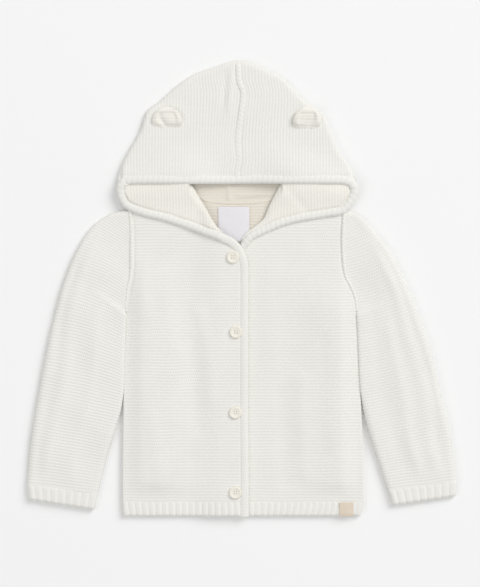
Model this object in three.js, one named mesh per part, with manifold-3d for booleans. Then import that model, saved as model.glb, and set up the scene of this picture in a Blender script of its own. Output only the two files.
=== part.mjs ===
// A baby's hooded knitted cardigan with small ears, laid flat on its back, buttoned up.
// Millimetres, +Z up, +Y towards the hood's tip. "Right" and "left" are the wearer's, so right is -X.
import * as THREE from 'three';
import Module from 'manifold-3d';

const wasm = await Module();
wasm.setup();

// Driving dimensions
const KNIT = 3.0; // thickness of the knitted wall
const GAP = 0.3; // clearance between neighbouring pieces
const LAYER = KNIT + GAP; // one layer lying on another
const HEM_Y = -262; // bottom edge of the hem rib
const HEM_RIB = 16; // height of the hem rib
const HEM_RIBS = 18; // ribs across each front
const CUFF_RIBS = 9; // ribs across the top of each cuff
const RIB_RISE = 0.9; // how far a rib stands out
const BAND_WIDTH = 8.6; // trim along the fronts and the hood's face edge
const BAND_HEIGHT = 3.7;
const BAND_RIB_PITCH = 6.4;
const BAND_RIB_DEPTH = 0.18; // share of the band's section lost between two ribs
const FRONT_EDGE_X = -1.6; // where the upper front ends beside its band
const UNDER_FRONT_X = -14; // where the lower front ends beside its band, under the overlap
const ARMHOLE_GAP = 1.0; // room for the seam between the body and a sleeve
const SHOULDER_TIP_Y = 94;
const FOREHEAD_Y = 129.8; // edge of the hood's upper layer, where the band begins
const SEAM_WIDTH = 5.5; // raised seam up the middle of the hood
const SEAM_HEIGHT = 2.2;
const SEAM_RIB_PITCH = 7;
const SEAM_RIB_DEPTH = 0.2;
const EDGE_ROUND = 7; // radius of a flattened tube's folded edges
const EDGE_FALL = 0.8; // how far a panel's edges drop below its face
const HEM_FALL = 0.9; // how far a rib's cast-on edge drops
const RIB_VALLEY = 0.4; // depth of a rib's valley, as a share of its rise
const CUFF_HIGH = 7.6; // height of the flattened cuff
const NECK_TOP_Y = 122; // where the hood's back goes in under the forehead band
const LOWER_LAYER_Y = 118; // lower edge of the hood's lower layer
const HOOD_REST = 0.9; // air between the hood's two layers
const HOOD_OPEN = 2.2; // further air between them at the face opening
const JOINT_INSET = 0.3; // how far a part that joins another stays inside that one's faces
const HOLE_RADIUS = 0.8; // thread holes of the buttons
const HOLE_OFFSET = 1.35;
const BUTTON_RADIUS = 7.4;
const BUTTON_HEIGHT = 3.2;
const LABEL = { x0: -27, x1: 9, y0: 60, y1: 96, thick: 0.6 };
const TAG = { x0: 112.5, x1: 128.5, y0: -262, y1: -246, thick: 0.9 };
const COLOURS = { knit: 0xf0efeb, rib: 0xf1f0ec, button: 0xece8df, label: 0xeeecee, tag: 0xdccbb6 };

// Sides of the body at each height, hem to shoulder tip, with the armholes
const BODY_SIDES = [
  { y: -262, right: -136, left: 137 },
  { y: -246, right: -137, left: 140.5 },
  { y: -200, right: -137, left: 140 },
  { y: -142, right: -136, left: 138 },
  { y: -98, right: -135.5, left: 136 },
  { y: -34, right: -133, left: 133 },
  { y: -13, right: -131.5, left: 131 },
  { y: 1, right: -130, left: 126 },
  { y: 14, right: -127, left: 119.5 },
  { y: 30, right: -126, left: 117 },
  { y: 57, right: -126, left: 116 },
  { y: 94, right: -128, left: 118 },
];
// Upper edges across the body: shoulders and neck
const BACK_TOP = [
  { x: -128, y: 94 },
  { x: -59, y: 118 },
  { x: -51, y: 106 },
  { x: -38, y: 99 },
  { x: -5, y: 97 },
  { x: 28, y: 99 },
  { x: 41, y: 106 },
  { x: 49, y: 118 },
  { x: 118, y: 94 },
];
const RIGHT_FRONT_TOP = [
  { x: -128, y: 94 },
  { x: -66, y: 115 },
  { x: -50, y: 88 },
  { x: -36, y: 64 },
  { x: -24, y: 53 },
  { x: -15, y: 47 },
  { x: -8.5, y: 38 },
  { x: -4, y: 27 },
  { x: -1.6, y: 16 },
];
const LEFT_FRONT_TOP = [
  { x: -14, y: 36 },
  { x: -4, y: 47 },
  { x: 12, y: 58 },
  { x: 30, y: 76 },
  { x: 40, y: 96 },
  { x: 55, y: 116 },
  { x: 118, y: 94 },
];
// Outline of the hood by distance across, from side to side over the tip
const HOOD_OUTLINE = [
  { x: -143, y: 113 },
  { x: -140, y: 135 },
  { x: -131, y: 156 },
  { x: -117, y: 181 },
  { x: -109, y: 204 },
  { x: -94, y: 216 },
  { x: -75, y: 233 },
  { x: -56, y: 246 },
  { x: -29, y: 256 },
  { x: -4, y: 263 },
  { x: 11, y: 260 },
  { x: 29, y: 252 },
  { x: 49, y: 241 },
  { x: 63, y: 226 },
  { x: 78, y: 212 },
  { x: 95, y: 200 },
  { x: 103, y: 181 },
  { x: 112, y: 159 },
  { x: 124, y: 141 },
  { x: 133, y: 121 },
];
const HOOD_SEAM = [
  { y: 118, x: -5 },
  { y: 134, x: -5 },
  { y: 150, x: -3 },
  { y: 167, x: -4 },
  { y: 198, x: -1 },
  { y: 225, x: 2 },
  { y: 239, x: -3 },
  { y: 263, x: -4 },
];
// Where the hood folds out over each shoulder: its inner edge beside the neck, from top to bottom
const WING_INNER = {
  right: [{ x: -60, y: 124 }, { x: -42, y: 94 }, { x: -29, y: 72 }, { x: -22, y: 65 }],
  left: [
    { x: 47, y: 124 },
    { x: 33, y: 98 },
    { x: 25, y: 80 },
    { x: 15, y: 71.5 },
    { x: 6, y: 64.5 },
    { x: 0.5, y: 58.5 },
  ],
};
// and its lower edge beside the band, from the neck out to the side
const WING_LOWER = {
  right: [
    { x: -22, y: 65 },
    { x: -41, y: 72 },
    { x: -64, y: 80 },
    { x: -86, y: 87 },
    { x: -111, y: 93.5 },
    { x: -128, y: 100.5 },
    { x: -133.6, y: 111 },
  ],
  left: [
    { x: 0.5, y: 58.5 },
    { x: 5, y: 61.5 },
    { x: 14, y: 67.5 },
    { x: 32, y: 76 },
    { x: 50, y: 82.5 },
    { x: 68, y: 87 },
    { x: 96, y: 92 },
    { x: 113, y: 95.5 },
    { x: 123.8, y: 111 },
  ],
};
// Middle line of the band round the face: layer 0 follows the folded-out part, 1 the upper layer
const FACE_BAND = [
  { x: -26, y: 60, layer: 0 },
  { x: -44, y: 67, layer: 0 },
  { x: -66, y: 75, layer: 0 },
  { x: -88, y: 82, layer: 0 },
  { x: -112, y: 88, layer: 0 },
  { x: -131, y: 96, layer: 0.05 },
  { x: -138.4, y: 109, layer: 0.35 },
  { x: -137.6, y: 119, layer: 0.8 },
  { x: -129, y: 124, layer: 1 },
  { x: -90, y: 124.8, layer: 1 },
  { x: -45, y: 124.6, layer: 1 },
  { x: 0, y: 125, layer: 1 },
  { x: 45, y: 125, layer: 1 },
  { x: 90, y: 124.8, layer: 1 },
  { x: 117, y: 124.2, layer: 1 },
  { x: 127.5, y: 119, layer: 0.8 },
  { x: 128.5, y: 108, layer: 0.35 },
  { x: 117, y: 91, layer: 0.05 },
  { x: 96, y: 86.5, layer: 0 },
  { x: 67, y: 81.5, layer: 0 },
  { x: 46, y: 76, layer: 0 },
  { x: 27, y: 68, layer: 0 },
  { x: 14, y: 62, layer: 0 },
  { x: 8, y: 57, layer: 0 },
  { x: 5, y: 52.5, layer: 0 },
];
// Middle line of the band down the upper front, from the hood to the hem
const RIGHT_FRONT_BAND = [
  { x: -20.5, y: 58, z: 8.6 },
  { x: -12, y: 53.5, z: 7.4 },
  { x: -5, y: 47, z: 6.8 },
  { x: 0, y: 38, z: 6.6 },
  { x: 2.7, y: 27, z: 6.6 },
  { x: 3.2, y: 8, z: 6.6 },
  { x: 3.0, y: -60, z: 6.6 },
  { x: 2.8, y: -130, z: 6.6 },
  { x: 3.4, y: -200, z: 6.6 },
  { x: 3.6, y: -262, z: 6.6 },
];
const LEFT_FRONT_BAND = [
  { x: -18.6, y: 34, z: 3.3 },
  { x: -18.6, y: -60, z: 3.3 },
  { x: -18.6, y: -160, z: 3.3 },
  { x: -18.6, y: -262, z: 3.3 },
];
// Rows across each sleeve, armhole to cuff: both ends of the row, its height and its bow towards the body
const SLEEVES = {
  right: [
    { innerX: -134, innerY: -28, outerX: -128.6, outerY: 91, high: 6.4, bow: 0 },
    { innerX: -134.6, innerY: -38, outerX: -148, outerY: 87, high: 7.2, bow: 5 },
    { innerX: -135.4, innerY: -52, outerX: -170, outerY: 73, high: 8.2, bow: 4 },
    { innerX: -136, innerY: -68, outerX: -189, outerY: 45, high: 8.8, bow: 3 },
    { innerX: -136.6, innerY: -87, outerX: -204, outerY: 9, high: 9, bow: 2 },
    { innerX: -137.2, innerY: -110, outerX: -216, outerY: -34, high: 9, bow: 1 },
    { innerX: -138.6, innerY: -137, outerX: -227, outerY: -85, high: 9, bow: 0 },
    { innerX: -145, innerY: -163, outerX: -236, outerY: -135, high: 8.8, bow: 0 },
    { innerX: -154.5, innerY: -194, outerX: -243, outerY: -180, high: 8.4, bow: 0 },
    { innerX: -165, innerY: -236, outerX: -247, outerY: -226, high: 7.8, bow: 0 },
  ],
  left: [
    { innerX: 134, innerY: -27, outerX: 118.8, outerY: 91, high: 6.4, bow: 0 },
    { innerX: 134.6, innerY: -38, outerX: 133, outerY: 86, high: 7.2, bow: -4 },
    { innerX: 135.4, innerY: -52, outerX: 153, outerY: 66, high: 8.2, bow: -4 },
    { innerX: 136.2, innerY: -68, outerX: 172, outerY: 41, high: 8.8, bow: -4 },
    { innerX: 137, innerY: -87, outerX: 187, outerY: 10, high: 9, bow: -3 },
    { innerX: 138, innerY: -110, outerX: 202, outerY: -27, high: 9, bow: -1 },
    { innerX: 140, innerY: -137, outerX: 217, outerY: -68, high: 9, bow: 0 },
    { innerX: 147, innerY: -168, outerX: 230, outerY: -124, high: 8.8, bow: 0 },
    { innerX: 156.5, innerY: -197, outerX: 240, outerY: -167, high: 8.4, bow: 0 },
    { innerX: 168, innerY: -232, outerX: 248, outerY: -222, high: 7.8, bow: 0 },
  ],
};
const CUFF_ENDS = {
  right: { innerX: -169, innerY: -255, outerX: -245, outerY: -243 },
  left: { innerX: 174, innerY: -250, outerX: 247, outerY: -239 },
};
// Soft folds that stand up from the fronts: two ends, half width and height
const FRONT_FOLDS = [
  { x0: -106, y0: -30, x1: -98, y1: -200, wide: 38, high: 3.6 },
  { x0: -84, y0: 10, x1: -80, y1: -150, wide: 12, high: 0.9 },
  { x0: -48, y0: -30, x1: -36, y1: -125, wide: 9, high: 1.0 },
  { x0: 108, y0: -40, x1: 112, y1: -205, wide: 40, high: 4.2 },
  { x0: 66, y0: -105, x1: 69, y1: -212, wide: 9, high: 1.2 },
  { x0: 34, y0: 20, x1: 30, y1: -90, wide: 12, high: 0.8 },
];
const BUTTONS = [{ x: -10, y: 36 }, { x: -6.4, y: -50 }, { x: -7, y: -142.5 }, { x: -7, y: -234.5 }];
// Ears: middle of the base, width, height, and how far the flap stands up at its two sides
const EARS = {
  right: { x: -85, y: 184.5, wide: 36, high: 25, outerLift: 1.4, innerLift: 2.7 },
  left: { x: 75, y: 183.5, wide: 34, high: 26, outerLift: 1.8, innerLift: 3.8 },
};

const clamp = (value, low = 0, high = 1) => Math.min(high, Math.max(low, value));
const mix = (a, b, t) => a + (b - a) * t;

// Soft step from 0 at one value to 1 at another
function ease(from, to, value) {
  const t = clamp((value - from) / (to - from));
  return t * t * (3 - 2 * t);
}

// Smooth value of one column of a table at a value of another, the key, which runs in order
function read(table, key, column, at) {
  const rising = table[table.length - 1][key] > table[0][key];
  const rows = rising ? table : [...table].reverse();
  const value = clamp(at, rows[0][key], rows[rows.length - 1][key]);
  let i = 0;
  while (i < rows.length - 2 && rows[i + 1][key] < value) i += 1;
  const slope = (a, b) => (rows[b][column] - rows[a][column]) / (rows[b][key] - rows[a][key]);
  const tangent = (k) => {
    if (k === 0 || k === rows.length - 1) return k === 0 ? slope(0, 1) : slope(k - 1, k);
    const before = slope(k - 1, k);
    const after = slope(k, k + 1);
    return before * after <= 0 ? 0 : (2 * before * after) / (before + after);
  };
  const width = rows[i + 1][key] - rows[i][key];
  const t = (value - rows[i][key]) / width;
  const rise = rows[i + 1][column] - rows[i][column];
  const bend = tangent(i) * width - rise;
  const unbend = rise - tangent(i + 1) * width;
  return rows[i][column] + rise * t + t * (1 - t) * (bend * (1 - t) + unbend * t);
}

// Smooth value of a column of a table whose rows are evenly spaced from 0 to 1
function along(table, column, t) {
  const rows = table.map((row, i) => ({ at: i / (table.length - 1), [column]: row[column] }));
  return read(rows, 'at', column, t);
}

// Evenly spaced shares from 0 to 1, with two more close to each end where the cloth rounds over
function shares(count, margin) {
  const even = Array.from({ length: count + 1 }, (_, i) => i / count);
  return [0, margin, ...even.slice(1, -1), 1 - margin, 1];
}

function geometryOf(points, faces) {
  let volume = 0;
  for (let i = 0; i < faces.length; i += 3) {
    const [a, b, c] = [points[faces[i]], points[faces[i + 1]], points[faces[i + 2]]];
    volume += a[0] * (b[1] * c[2] - b[2] * c[1]);
    volume += a[1] * (b[2] * c[0] - b[0] * c[2]);
    volume += a[2] * (b[0] * c[1] - b[1] * c[0]);
  }
  const outward = volume > 0 ? faces : [...faces].reverse();
  const geometry = new THREE.BufferGeometry();
  geometry.setAttribute('position', new THREE.Float32BufferAttribute(points.flat(), 3));
  geometry.setIndex(outward);
  return geometry;
}

// Closed wall between an outer and an inner sheet of points, each a list of rows.
// A looped wall closes on itself along each row.
function wall(outer, inner, looped = false) {
  const rows = outer.length;
  const cols = outer[0].length;
  const last = rows - 1;
  const end = cols - 1;
  const faces = [];
  const at = (side, row, col) => (side * rows + row) * cols + (col % cols);
  const quad = (a, b, c, d) => faces.push(a, b, c, a, c, d);
  for (let col = 0; col < (looped ? cols : end); col += 1) {
    for (let row = 0; row < last; row += 1) {
      quad(at(0, row, col), at(0, row, col + 1), at(0, row + 1, col + 1), at(0, row + 1, col));
      quad(at(1, row, col), at(1, row + 1, col), at(1, row + 1, col + 1), at(1, row, col + 1));
    }
    quad(at(0, 0, col), at(1, 0, col), at(1, 0, col + 1), at(0, 0, col + 1));
    quad(at(0, last, col), at(0, last, col + 1), at(1, last, col + 1), at(1, last, col));
  }
  for (let row = 0; row < last && !looped; row += 1) {
    quad(at(0, row, 0), at(0, row + 1, 0), at(1, row + 1, 0), at(1, row, 0));
    quad(at(0, row, end), at(1, row, end), at(1, row + 1, end), at(0, row + 1, end));
  }
  return geometryOf([...outer.flat(), ...inner.flat()], faces);
}

// Closed rod through rings of points, with a flat cap at each end
function rod(rings) {
  const cols = rings[0].length;
  const points = rings.flat();
  const faces = [];
  for (let row = 0; row < rings.length - 1; row += 1) {
    for (let col = 0; col < cols; col += 1) {
      const next = (col + 1) % cols;
      const [a, b] = [row * cols + col, row * cols + next];
      faces.push(a, b, b + cols, a, b + cols, a + cols);
    }
  }
  const lastRing = (rings.length - 1) * cols;
  for (let col = 1; col < cols - 1; col += 1) {
    faces.push(0, col + 1, col);
    faces.push(lastRing, lastRing + col, lastRing + col + 1);
  }
  return geometryOf(points, faces);
}

function toSolid(geometry) {
  const vertProperties = new Float32Array(geometry.getAttribute('position').array);
  const triVerts = new Uint32Array(geometry.getIndex().array);
  return new wasm.Manifold(new wasm.Mesh({ numProp: 3, vertProperties, triVerts }));
}

function fromSolid(solid) {
  const mesh = solid.getMesh();
  const geometry = new THREE.BufferGeometry();
  geometry.setAttribute('position', new THREE.BufferAttribute(mesh.vertProperties, 3));
  geometry.setIndex(new THREE.BufferAttribute(mesh.triVerts, 1));
  return geometry;
}

const garment = new THREE.Group();

function add(name, geometry, colour, roughness = 0.95) {
  const material = new THREE.MeshStandardMaterial({ color: colour, roughness, metalness: 0 });
  const mesh = new THREE.Mesh(geometry, material);
  mesh.name = name;
  garment.add(mesh);
}

// Height that the soft folds add at a point of the fronts
function foldRise(x, y) {
  let rise = 0;
  for (const fold of FRONT_FOLDS) {
    const [dx, dy] = [fold.x1 - fold.x0, fold.y1 - fold.y0];
    const t = clamp(((x - fold.x0) * dx + (y - fold.y0) * dy) / (dx * dx + dy * dy));
    const away = Math.hypot(x - fold.x0 - t * dx, y - fold.y0 - t * dy) / fold.wide;
    rise += fold.high * Math.exp(-away * away);
  }
  const hemFade = ease(HEM_Y + HEM_RIB, HEM_Y + HEM_RIB + 25, y);
  return rise * ease(136, 112, Math.abs(x)) * ease(60, 20, y) * hemFade;
}

const bodySide = (name) => (y) => read(BODY_SIDES, 'y', name, y);

// Wall of the body between two sides, from a lower edge up to a top edge that is given across
function bodyWall({ sides, bottom, top, floor, thick, across, upward }) {
  const [near, far] = sides;
  const sheet = (height, inset) => upward.map((v, row) => across.map((u, col) => {
    const topX = mix(near(SHOULDER_TIP_Y), far(SHOULDER_TIP_Y), u);
    const y = mix(bottom, top(topX), v);
    const x = mix(near(y), far(y), u);
    const border = row === 0 || col === 0 || row === upward.length - 1 || col === across.length - 1;
    return [x, y, height(x, y) - (border ? inset : 0)];
  }));
  const over = (x, y) => floor(x, y) + thick(x, y);
  return wall(sheet(over, EDGE_FALL), sheet(floor, 0));
}

// The upper front climbs onto the lower front where the two overlap
const overlapRise = (x) => LAYER * ease(-42, -26, x);
const rightFrontFloor = (x, y) => LAYER + overlapRise(x) + foldRise(x, y);
const labelRoom = (x, y) => 0.9 * ease(22, 12, x) * ease(44, 52, y);
const leftFrontFloor = (x, y) => LAYER + foldRise(x, y) * ease(-2, 20, x) + labelRoom(x, y);
function armholeRidge(x, y, edge) {
  const across = Math.exp(-(((Math.abs(x - edge) - 3.5) / 2.2) ** 2));
  return 1.1 * across * ease(-25, 10, y) * ease(84, 66, y);
}
const BACK_ACROSS = shares(16, 0.008);
const BODY_UPWARD = [0, 0.008, 0.1, 0.22, 0.34, 0.46, 0.58, 0.66, 0.71, 0.76, 0.81, 0.86, 0.92, 0.992, 1];

function buildBody() {
  const right = bodySide('right');
  const left = bodySide('left');
  const bottom = HEM_Y + HEM_RIB + GAP;
  const upward = BODY_UPWARD;
  add('back_panel', bodyWall({
    sides: [right, left],
    bottom,
    top: (x) => read(BACK_TOP, 'x', 'y', x),
    floor: () => 0,
    thick: () => KNIT,
    across: BACK_ACROSS,
    upward,
  }), COLOURS.knit);
  add('front_right_panel', bodyWall({
    sides: [right, () => FRONT_EDGE_X],
    bottom,
    top: (x) => read(RIGHT_FRONT_TOP, 'x', 'y', x),
    floor: rightFrontFloor,
    thick: (x, y) => KNIT + armholeRidge(x, y, right(y)),
    across: [0, 0.015, 0.04, ...shares(12, 0.015).slice(2)],
    upward,
  }), COLOURS.knit);
  add('front_left_panel', bodyWall({
    sides: [() => UNDER_FRONT_X, left],
    bottom,
    top: (x) => read(LEFT_FRONT_TOP, 'x', 'y', x),
    floor: leftFrontFloor,
    thick: (x, y) => KNIT - labelRoom(x, y) + armholeRidge(x, y, left(y)),
    across: [...shares(12, 0.015).slice(0, -2), 0.96, 0.985, 1],
    upward,
  }), COLOURS.knit);
}

// Rib rows: across each rib the outer points go valley, shoulder, shoulder, like a corrugation
function ribShares(ribs) {
  const list = [];
  for (let i = 0; i < ribs; i += 1) list.push(i / ribs, (i + 0.28) / ribs, (i + 0.72) / ribs);
  return [...list, 1];
}

const ribRise = (index) => (index % 3 === 0 ? -RIB_RISE * RIB_VALLEY : RIB_RISE);

function hemWall(sides, floor, ribs, ribsFrom = -Infinity) {
  const across = ribs ? ribShares(ribs) : shares(8, 0.008);
  const heights = [0, 0.12, 1];
  const sheet = (outer) => heights.map((v) => across.map((u, col) => {
    const y = mix(HEM_Y, HEM_Y + HEM_RIB, v);
    const x = mix(sides[0](y), sides[1](y), u);
    const rise = ribs && x > ribsFrom ? ribRise(col) : 0;
    const fall = v === 0 ? HEM_FALL : 0;
    return [x, y, floor(x) + (outer ? KNIT + rise - fall : 0)];
  }));
  return wall(sheet(true), sheet(false));
}

function buildHem() {
  const [right, left] = [bodySide('right'), bodySide('left')];
  add('hem_rib_back', hemWall([right, left], () => 0, 0), COLOURS.rib);
  const upper = [right, () => FRONT_EDGE_X];
  const lower = [() => UNDER_FRONT_X, left];
  add('hem_rib_front_right', hemWall(upper, (x) => LAYER + overlapRise(x), HEM_RIBS), COLOURS.rib);
  add('hem_rib_front_left', hemWall(lower, () => LAYER, HEM_RIBS + 2, 9), COLOURS.rib);
}

// Section of a flattened tube: shares across the top, then back across the underside
function tubeSection(row, topShares, bottomShares, inset, rise) {
  const [dx, dy] = [row.outerX - row.innerX, row.outerY - row.innerY];
  const width = Math.hypot(dx, dy);
  const middle = row.high / 2;
  const place = (t, upper, index) => {
    const t2 = mix(inset / width, 1 - inset / width, t);
    const edge = 1 - clamp((width * Math.min(t, 1 - t)) / EDGE_ROUND);
    const round = Math.sqrt(1 - edge * edge);
    const bow = row.bow * 4 * t2 * (1 - t2);
    const lift = upper ? rise(t, index) * round : 0;
    const z = middle + (upper ? 1 : -1) * (middle - inset) * round + lift;
    return [row.innerX + dx * t2 + row.shift(t2) + bow, row.innerY + dy * t2, z];
  };
  const over = topShares.map((t, index) => place(t, true, index));
  const under = bottomShares.map((t) => place(t, false, 0));
  return [...over, ...under];
}

function sleeveRow(name, t) {
  const table = SLEEVES[name];
  const row = {};
  for (const column of ['innerX', 'innerY', 'outerX', 'outerY', 'high', 'bow']) {
    row[column] = along(table, column, t);
  }
  const first = table[0];
  const away = Math.sign(first.innerX);
  const armhole = (u) => {
    const y = mix(first.innerY, first.outerY, u);
    return bodySide(name)(y) + away * ARMHOLE_GAP - mix(first.innerX, first.outerX, u);
  };
  const hold = clamp(1 - t * 9);
  row.shift = (u) => armhole(u) * hold;
  return row;
}

function buildSleeve(name) {
  const top = [0, 0.02, 0.06, 0.13, 0.2, 0.3, 0.4, 0.5, 0.62, 0.74, 0.84, 0.94, 0.98, 1];
  const underside = [0.98, 0.9, 0.7, 0.5, 0.38, 0.28, 0.2, 0.13, 0.07, 0.02];
  const bump = (t, middle, wide) => Math.exp(-(((t - middle) / wide) ** 2));
  const fold = (t) => 1.2 * bump(t, 0.74, 0.07) - 0.5 * bump(t, 0.86, 0.05);
  const ROWS = 14;
  const rings = (inset) => Array.from({ length: ROWS + 1 }, (_, i) => {
    const t = i / ROWS;
    const depth = ease(0.1, 0.3, t) * ease(1, 0.9, t);
    return tubeSection(sleeveRow(name, t), top, underside, inset, (u) => fold(u) * depth);
  });
  add(`sleeve_${name}`, wall(rings(0), rings(KNIT), true), COLOURS.knit);
}

function buildCuff(name) {
  const table = SLEEVES[name];
  const start = table[table.length - 1];
  const end = CUFF_ENDS[name];
  const top = ribShares(CUFF_RIBS);
  const underside = [0.98, 0.5, 0.02];
  const rows = [0.02, 0.88, 1].map((t) => {
    const row = { high: CUFF_HIGH - (t === 1 ? HEM_FALL : 0), bow: 0, shift: () => 0 };
    for (const column of ['innerX', 'innerY', 'outerX', 'outerY']) {
      row[column] = mix(start[column], end[column], t);
    }
    return row;
  });
  const rings = (inset, ribs) => rows.map((row) => (
    tubeSection(row, top, underside, inset, (t, index) => (ribs ? ribRise(index) : 0))
  ));
  add(`cuff_${name}`, wall(rings(0, true), rings(KNIT, false), true), COLOURS.rib);
}

// How far the hood's lower layer is lifted by the shoulder that it folds out over
const shoulderY = (x) => read(BACK_TOP, 'x', 'y', x < -59 ? x : Math.max(x, 49));
function shoulderLift(x, y, share) {
  const near = ease(shoulderY(x) + 55, shoulderY(x) + 5, y);
  const onRight = x < 0 ? LAYER * ease(-52, -35, x) * ease(105, 85, y) : 0;
  return (2 * LAYER * near + onRight) * share;
}
const outsideNeck = (x, y) => {
  const name = x < 0 ? 'right' : 'left';
  const fold = Math.abs(read(WING_INNER[name], 'y', 'x', y));
  return ease(fold - 8, fold - 2, Math.abs(x));
};
const lowerFloor = (x, y) => shoulderLift(x, y, outsideNeck(x, y));
function upperFloor(x, y) {
  const bridge = ease(18, 64, Math.abs(x + 4));
  const open = ease(215, 130, y);
  return KNIT + HOOD_REST + HOOD_OPEN * open + shoulderLift(x, Math.max(y, LOWER_LAYER_Y), bridge);
}

// One side of the hood: the upper layer from the forehead edge up to the fold on the outline,
// round it, and the lower layer back down, with the two parts that go on to the neck and the face
function buildHoodSide(name) {
  const away = name === 'right' ? -1 : 1;
  const endX = name === 'right' ? -141 : 131.5;
  const across = [0, 0.06, 0.18, 0.32, 0.46, 0.58, 0.7, 0.8, 0.88, 0.94, 0.98, 1];
  const climb = [0, 0.22, 0.45, 0.68, 0.85, 0.95];
  const turn = (v) => Math.sqrt(1 - v ** 10);
  const outer = [];
  const inner = [];
  for (const u of across) {
    const seam = (y) => read(HOOD_SEAM, 'y', 'x', y) + away * GAP / 2;
    const foldX = mix(seam(262), endX, u);
    const foldY = read(HOOD_OUTLINE, 'x', 'y', foldX);
    const step = 0.5;
    const [before, after] = [-step, step].map((dx) => read(HOOD_OUTLINE, 'x', 'y', foldX + dx));
    const slope = (after - before) / (2 * step);
    const length = Math.hypot(slope, 1);
    const inward = u === 0 ? [0, -1] : [slope / length, -1 / length];
    const point = (v, base, sheetZ, offset) => {
      const y = mix(base, foldY, v);
      const x = mix(mix(seam(y), endX, u), foldX, v);
      const middle = (upperFloor(x, y) + KNIT + lowerFloor(x, y)) / 2;
      const push = offset * v ** 6;
      return [x + inward[0] * push, y + inward[1] * push, mix(middle, sheetZ(x, y), turn(v))];
    };
    const upperBase = Math.min(FOREHEAD_Y, foldY - 1.5);
    const lowerBase = Math.min(LOWER_LAYER_Y, foldY - 4);
    const back = [...climb].reverse();
    outer.push([
      ...climb.map((v) => point(v, upperBase, (x, y) => upperFloor(x, y) + KNIT, 0)),
      point(1, upperBase, () => 0, 0),
      ...back.map((v) => point(v, lowerBase, lowerFloor, 0)),
    ]);
    inner.push([
      ...climb.map((v) => point(v, upperBase, upperFloor, KNIT)),
      point(1, upperBase, () => 0, KNIT),
      ...back.map((v) => point(v, lowerBase, (x, y) => lowerFloor(x, y) + KNIT, KNIT)),
    ]);
  }
  const shell = toSolid(wall(outer, inner));
  const parts = [toSolid(wingWall(name)), toSolid(neckWall(name))];
  let hood = shell;
  for (const part of parts) hood = hood.add(part);
  add(`hood_${name}`, fromSolid(hood), COLOURS.knit);
}

// The part folded out over the shoulder, between the neck fold and the band
function wingWall(name) {
  const topEnds = name === 'right' ? [-60, -135] : [47, 124];
  const innerEdge = WING_INNER[name];
  const lowerEdge = WING_LOWER[name];
  const across = [0, 0.04, 0.15, 0.3, 0.5, 0.7, 0.88, 1];
  const down = [0, 0.12, 0.3, 0.5, 0.7, 0.88, 1];
  const sheet = (raise) => down.map((v) => across.map((u) => {
    const topX = mix(topEnds[0], topEnds[1], u);
    const low = { x: along(lowerEdge, 'x', u), y: along(lowerEdge, 'y', u) };
    const straight = { x: mix(topEnds[0], lowerEdge[0].x, v), y: mix(124, lowerEdge[0].y, v) };
    const bent = { x: along(innerEdge, 'x', v), y: along(innerEdge, 'y', v) };
    const x = mix(topX, low.x, v) + (bent.x - straight.x) * (1 - u);
    const y = mix(124, low.y, v) + (bent.y - straight.y) * (1 - u);
    const roll = u === 0 ? 1.6 : 0;
    return [x, y, shoulderLift(x, y, 1) + raise - roll];
  }));
  return wall(sheet(KNIT - JOINT_INSET), sheet(JOINT_INSET));
}

// The part behind the neck, down to the back's neck edge
function neckWall(name) {
  const ends = name === 'right' ? [-57, -5.2] : [-4.8, 47];
  const columns = BACK_ACROSS.map((u) => mix(BACK_TOP[0].x, BACK_TOP[BACK_TOP.length - 1].x, u));
  const inner = columns.filter((x) => x > ends[0] && x < ends[1]);
  const neckEdge = (x) => {
    const i = columns.findIndex((column) => column >= x);
    const [from, to] = [columns[i - 1], columns[i]];
    const level = (column) => read(BACK_TOP, 'x', 'y', column);
    return mix(level(from), level(to), (x - from) / (to - from));
  };
  const sheet = (z) => [0, 0.5, 1].map((v) => [ends[0], ...inner, ends[1]].map((x) => (
    [x, mix(neckEdge(x) + GAP, NECK_TOP_Y, v), z]
  )));
  return wall(sheet(KNIT - JOINT_INSET), sheet(JOINT_INSET));
}

// Flat-bottomed rounded section of a knitted trim: share across and share of its height
const BAND_SECTION = [
  { across: -0.4, high: 0 },
  { across: -0.5, high: 0.45 },
  { across: -0.3, high: 0.9 },
  { across: 0.05, high: 1 },
  { across: 0.4, high: 0.8 },
  { across: 0.5, high: 0.35 },
  { across: 0.4, high: 0 },
];

// Trim along a middle line, with cross ribs where a pitch is given
function trim(path, width, height, pitch, depth) {
  const points = path.map((p) => new THREE.Vector3(p.x, p.y, p.z));
  const curve = new THREE.CatmullRomCurve3(points, false, 'centripetal');
  const count = 2 * Math.round(curve.getLength() / pitch);
  const rings = [];
  for (let i = 0; i <= count; i += 1) {
    const middle = curve.getPointAt(i / count);
    const ahead = curve.getTangentAt(i / count);
    const side = new THREE.Vector3(ahead.y, -ahead.x, 0).normalize();
    const swell = 1 - (i % 2 ? 0 : depth);
    rings.push(BAND_SECTION.map((corner) => [
      middle.x + side.x * corner.across * width * mix(1, swell, 0.4),
      middle.y + side.y * corner.across * width * mix(1, swell, 0.4),
      middle.z + corner.high * height * swell,
    ]));
  }
  return rod(rings);
}

function buildBands() {
  const wingFloor = (x, y) => shoulderLift(x, y, 1);
  const facePath = FACE_BAND.map(({ x, y, layer }) => (
    { x, y, z: mix(wingFloor(x, y), upperFloor(x, y), layer) }
  ));
  const pitch = BAND_RIB_PITCH;
  const depth = BAND_RIB_DEPTH;
  const faceBand = trim(facePath, BAND_WIDTH, BAND_HEIGHT, pitch, depth);
  const upperBand = trim(RIGHT_FRONT_BAND, BAND_WIDTH, BAND_HEIGHT, pitch * 2, depth / 3);
  const lowerBand = trim(LEFT_FRONT_BAND, BAND_WIDTH, KNIT, 40, 0);
  add('hood_edge_band', faceBand, COLOURS.rib);
  add('front_band_right', upperBand, COLOURS.rib);
  add('front_band_left', lowerBand, COLOURS.rib);
}

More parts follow.
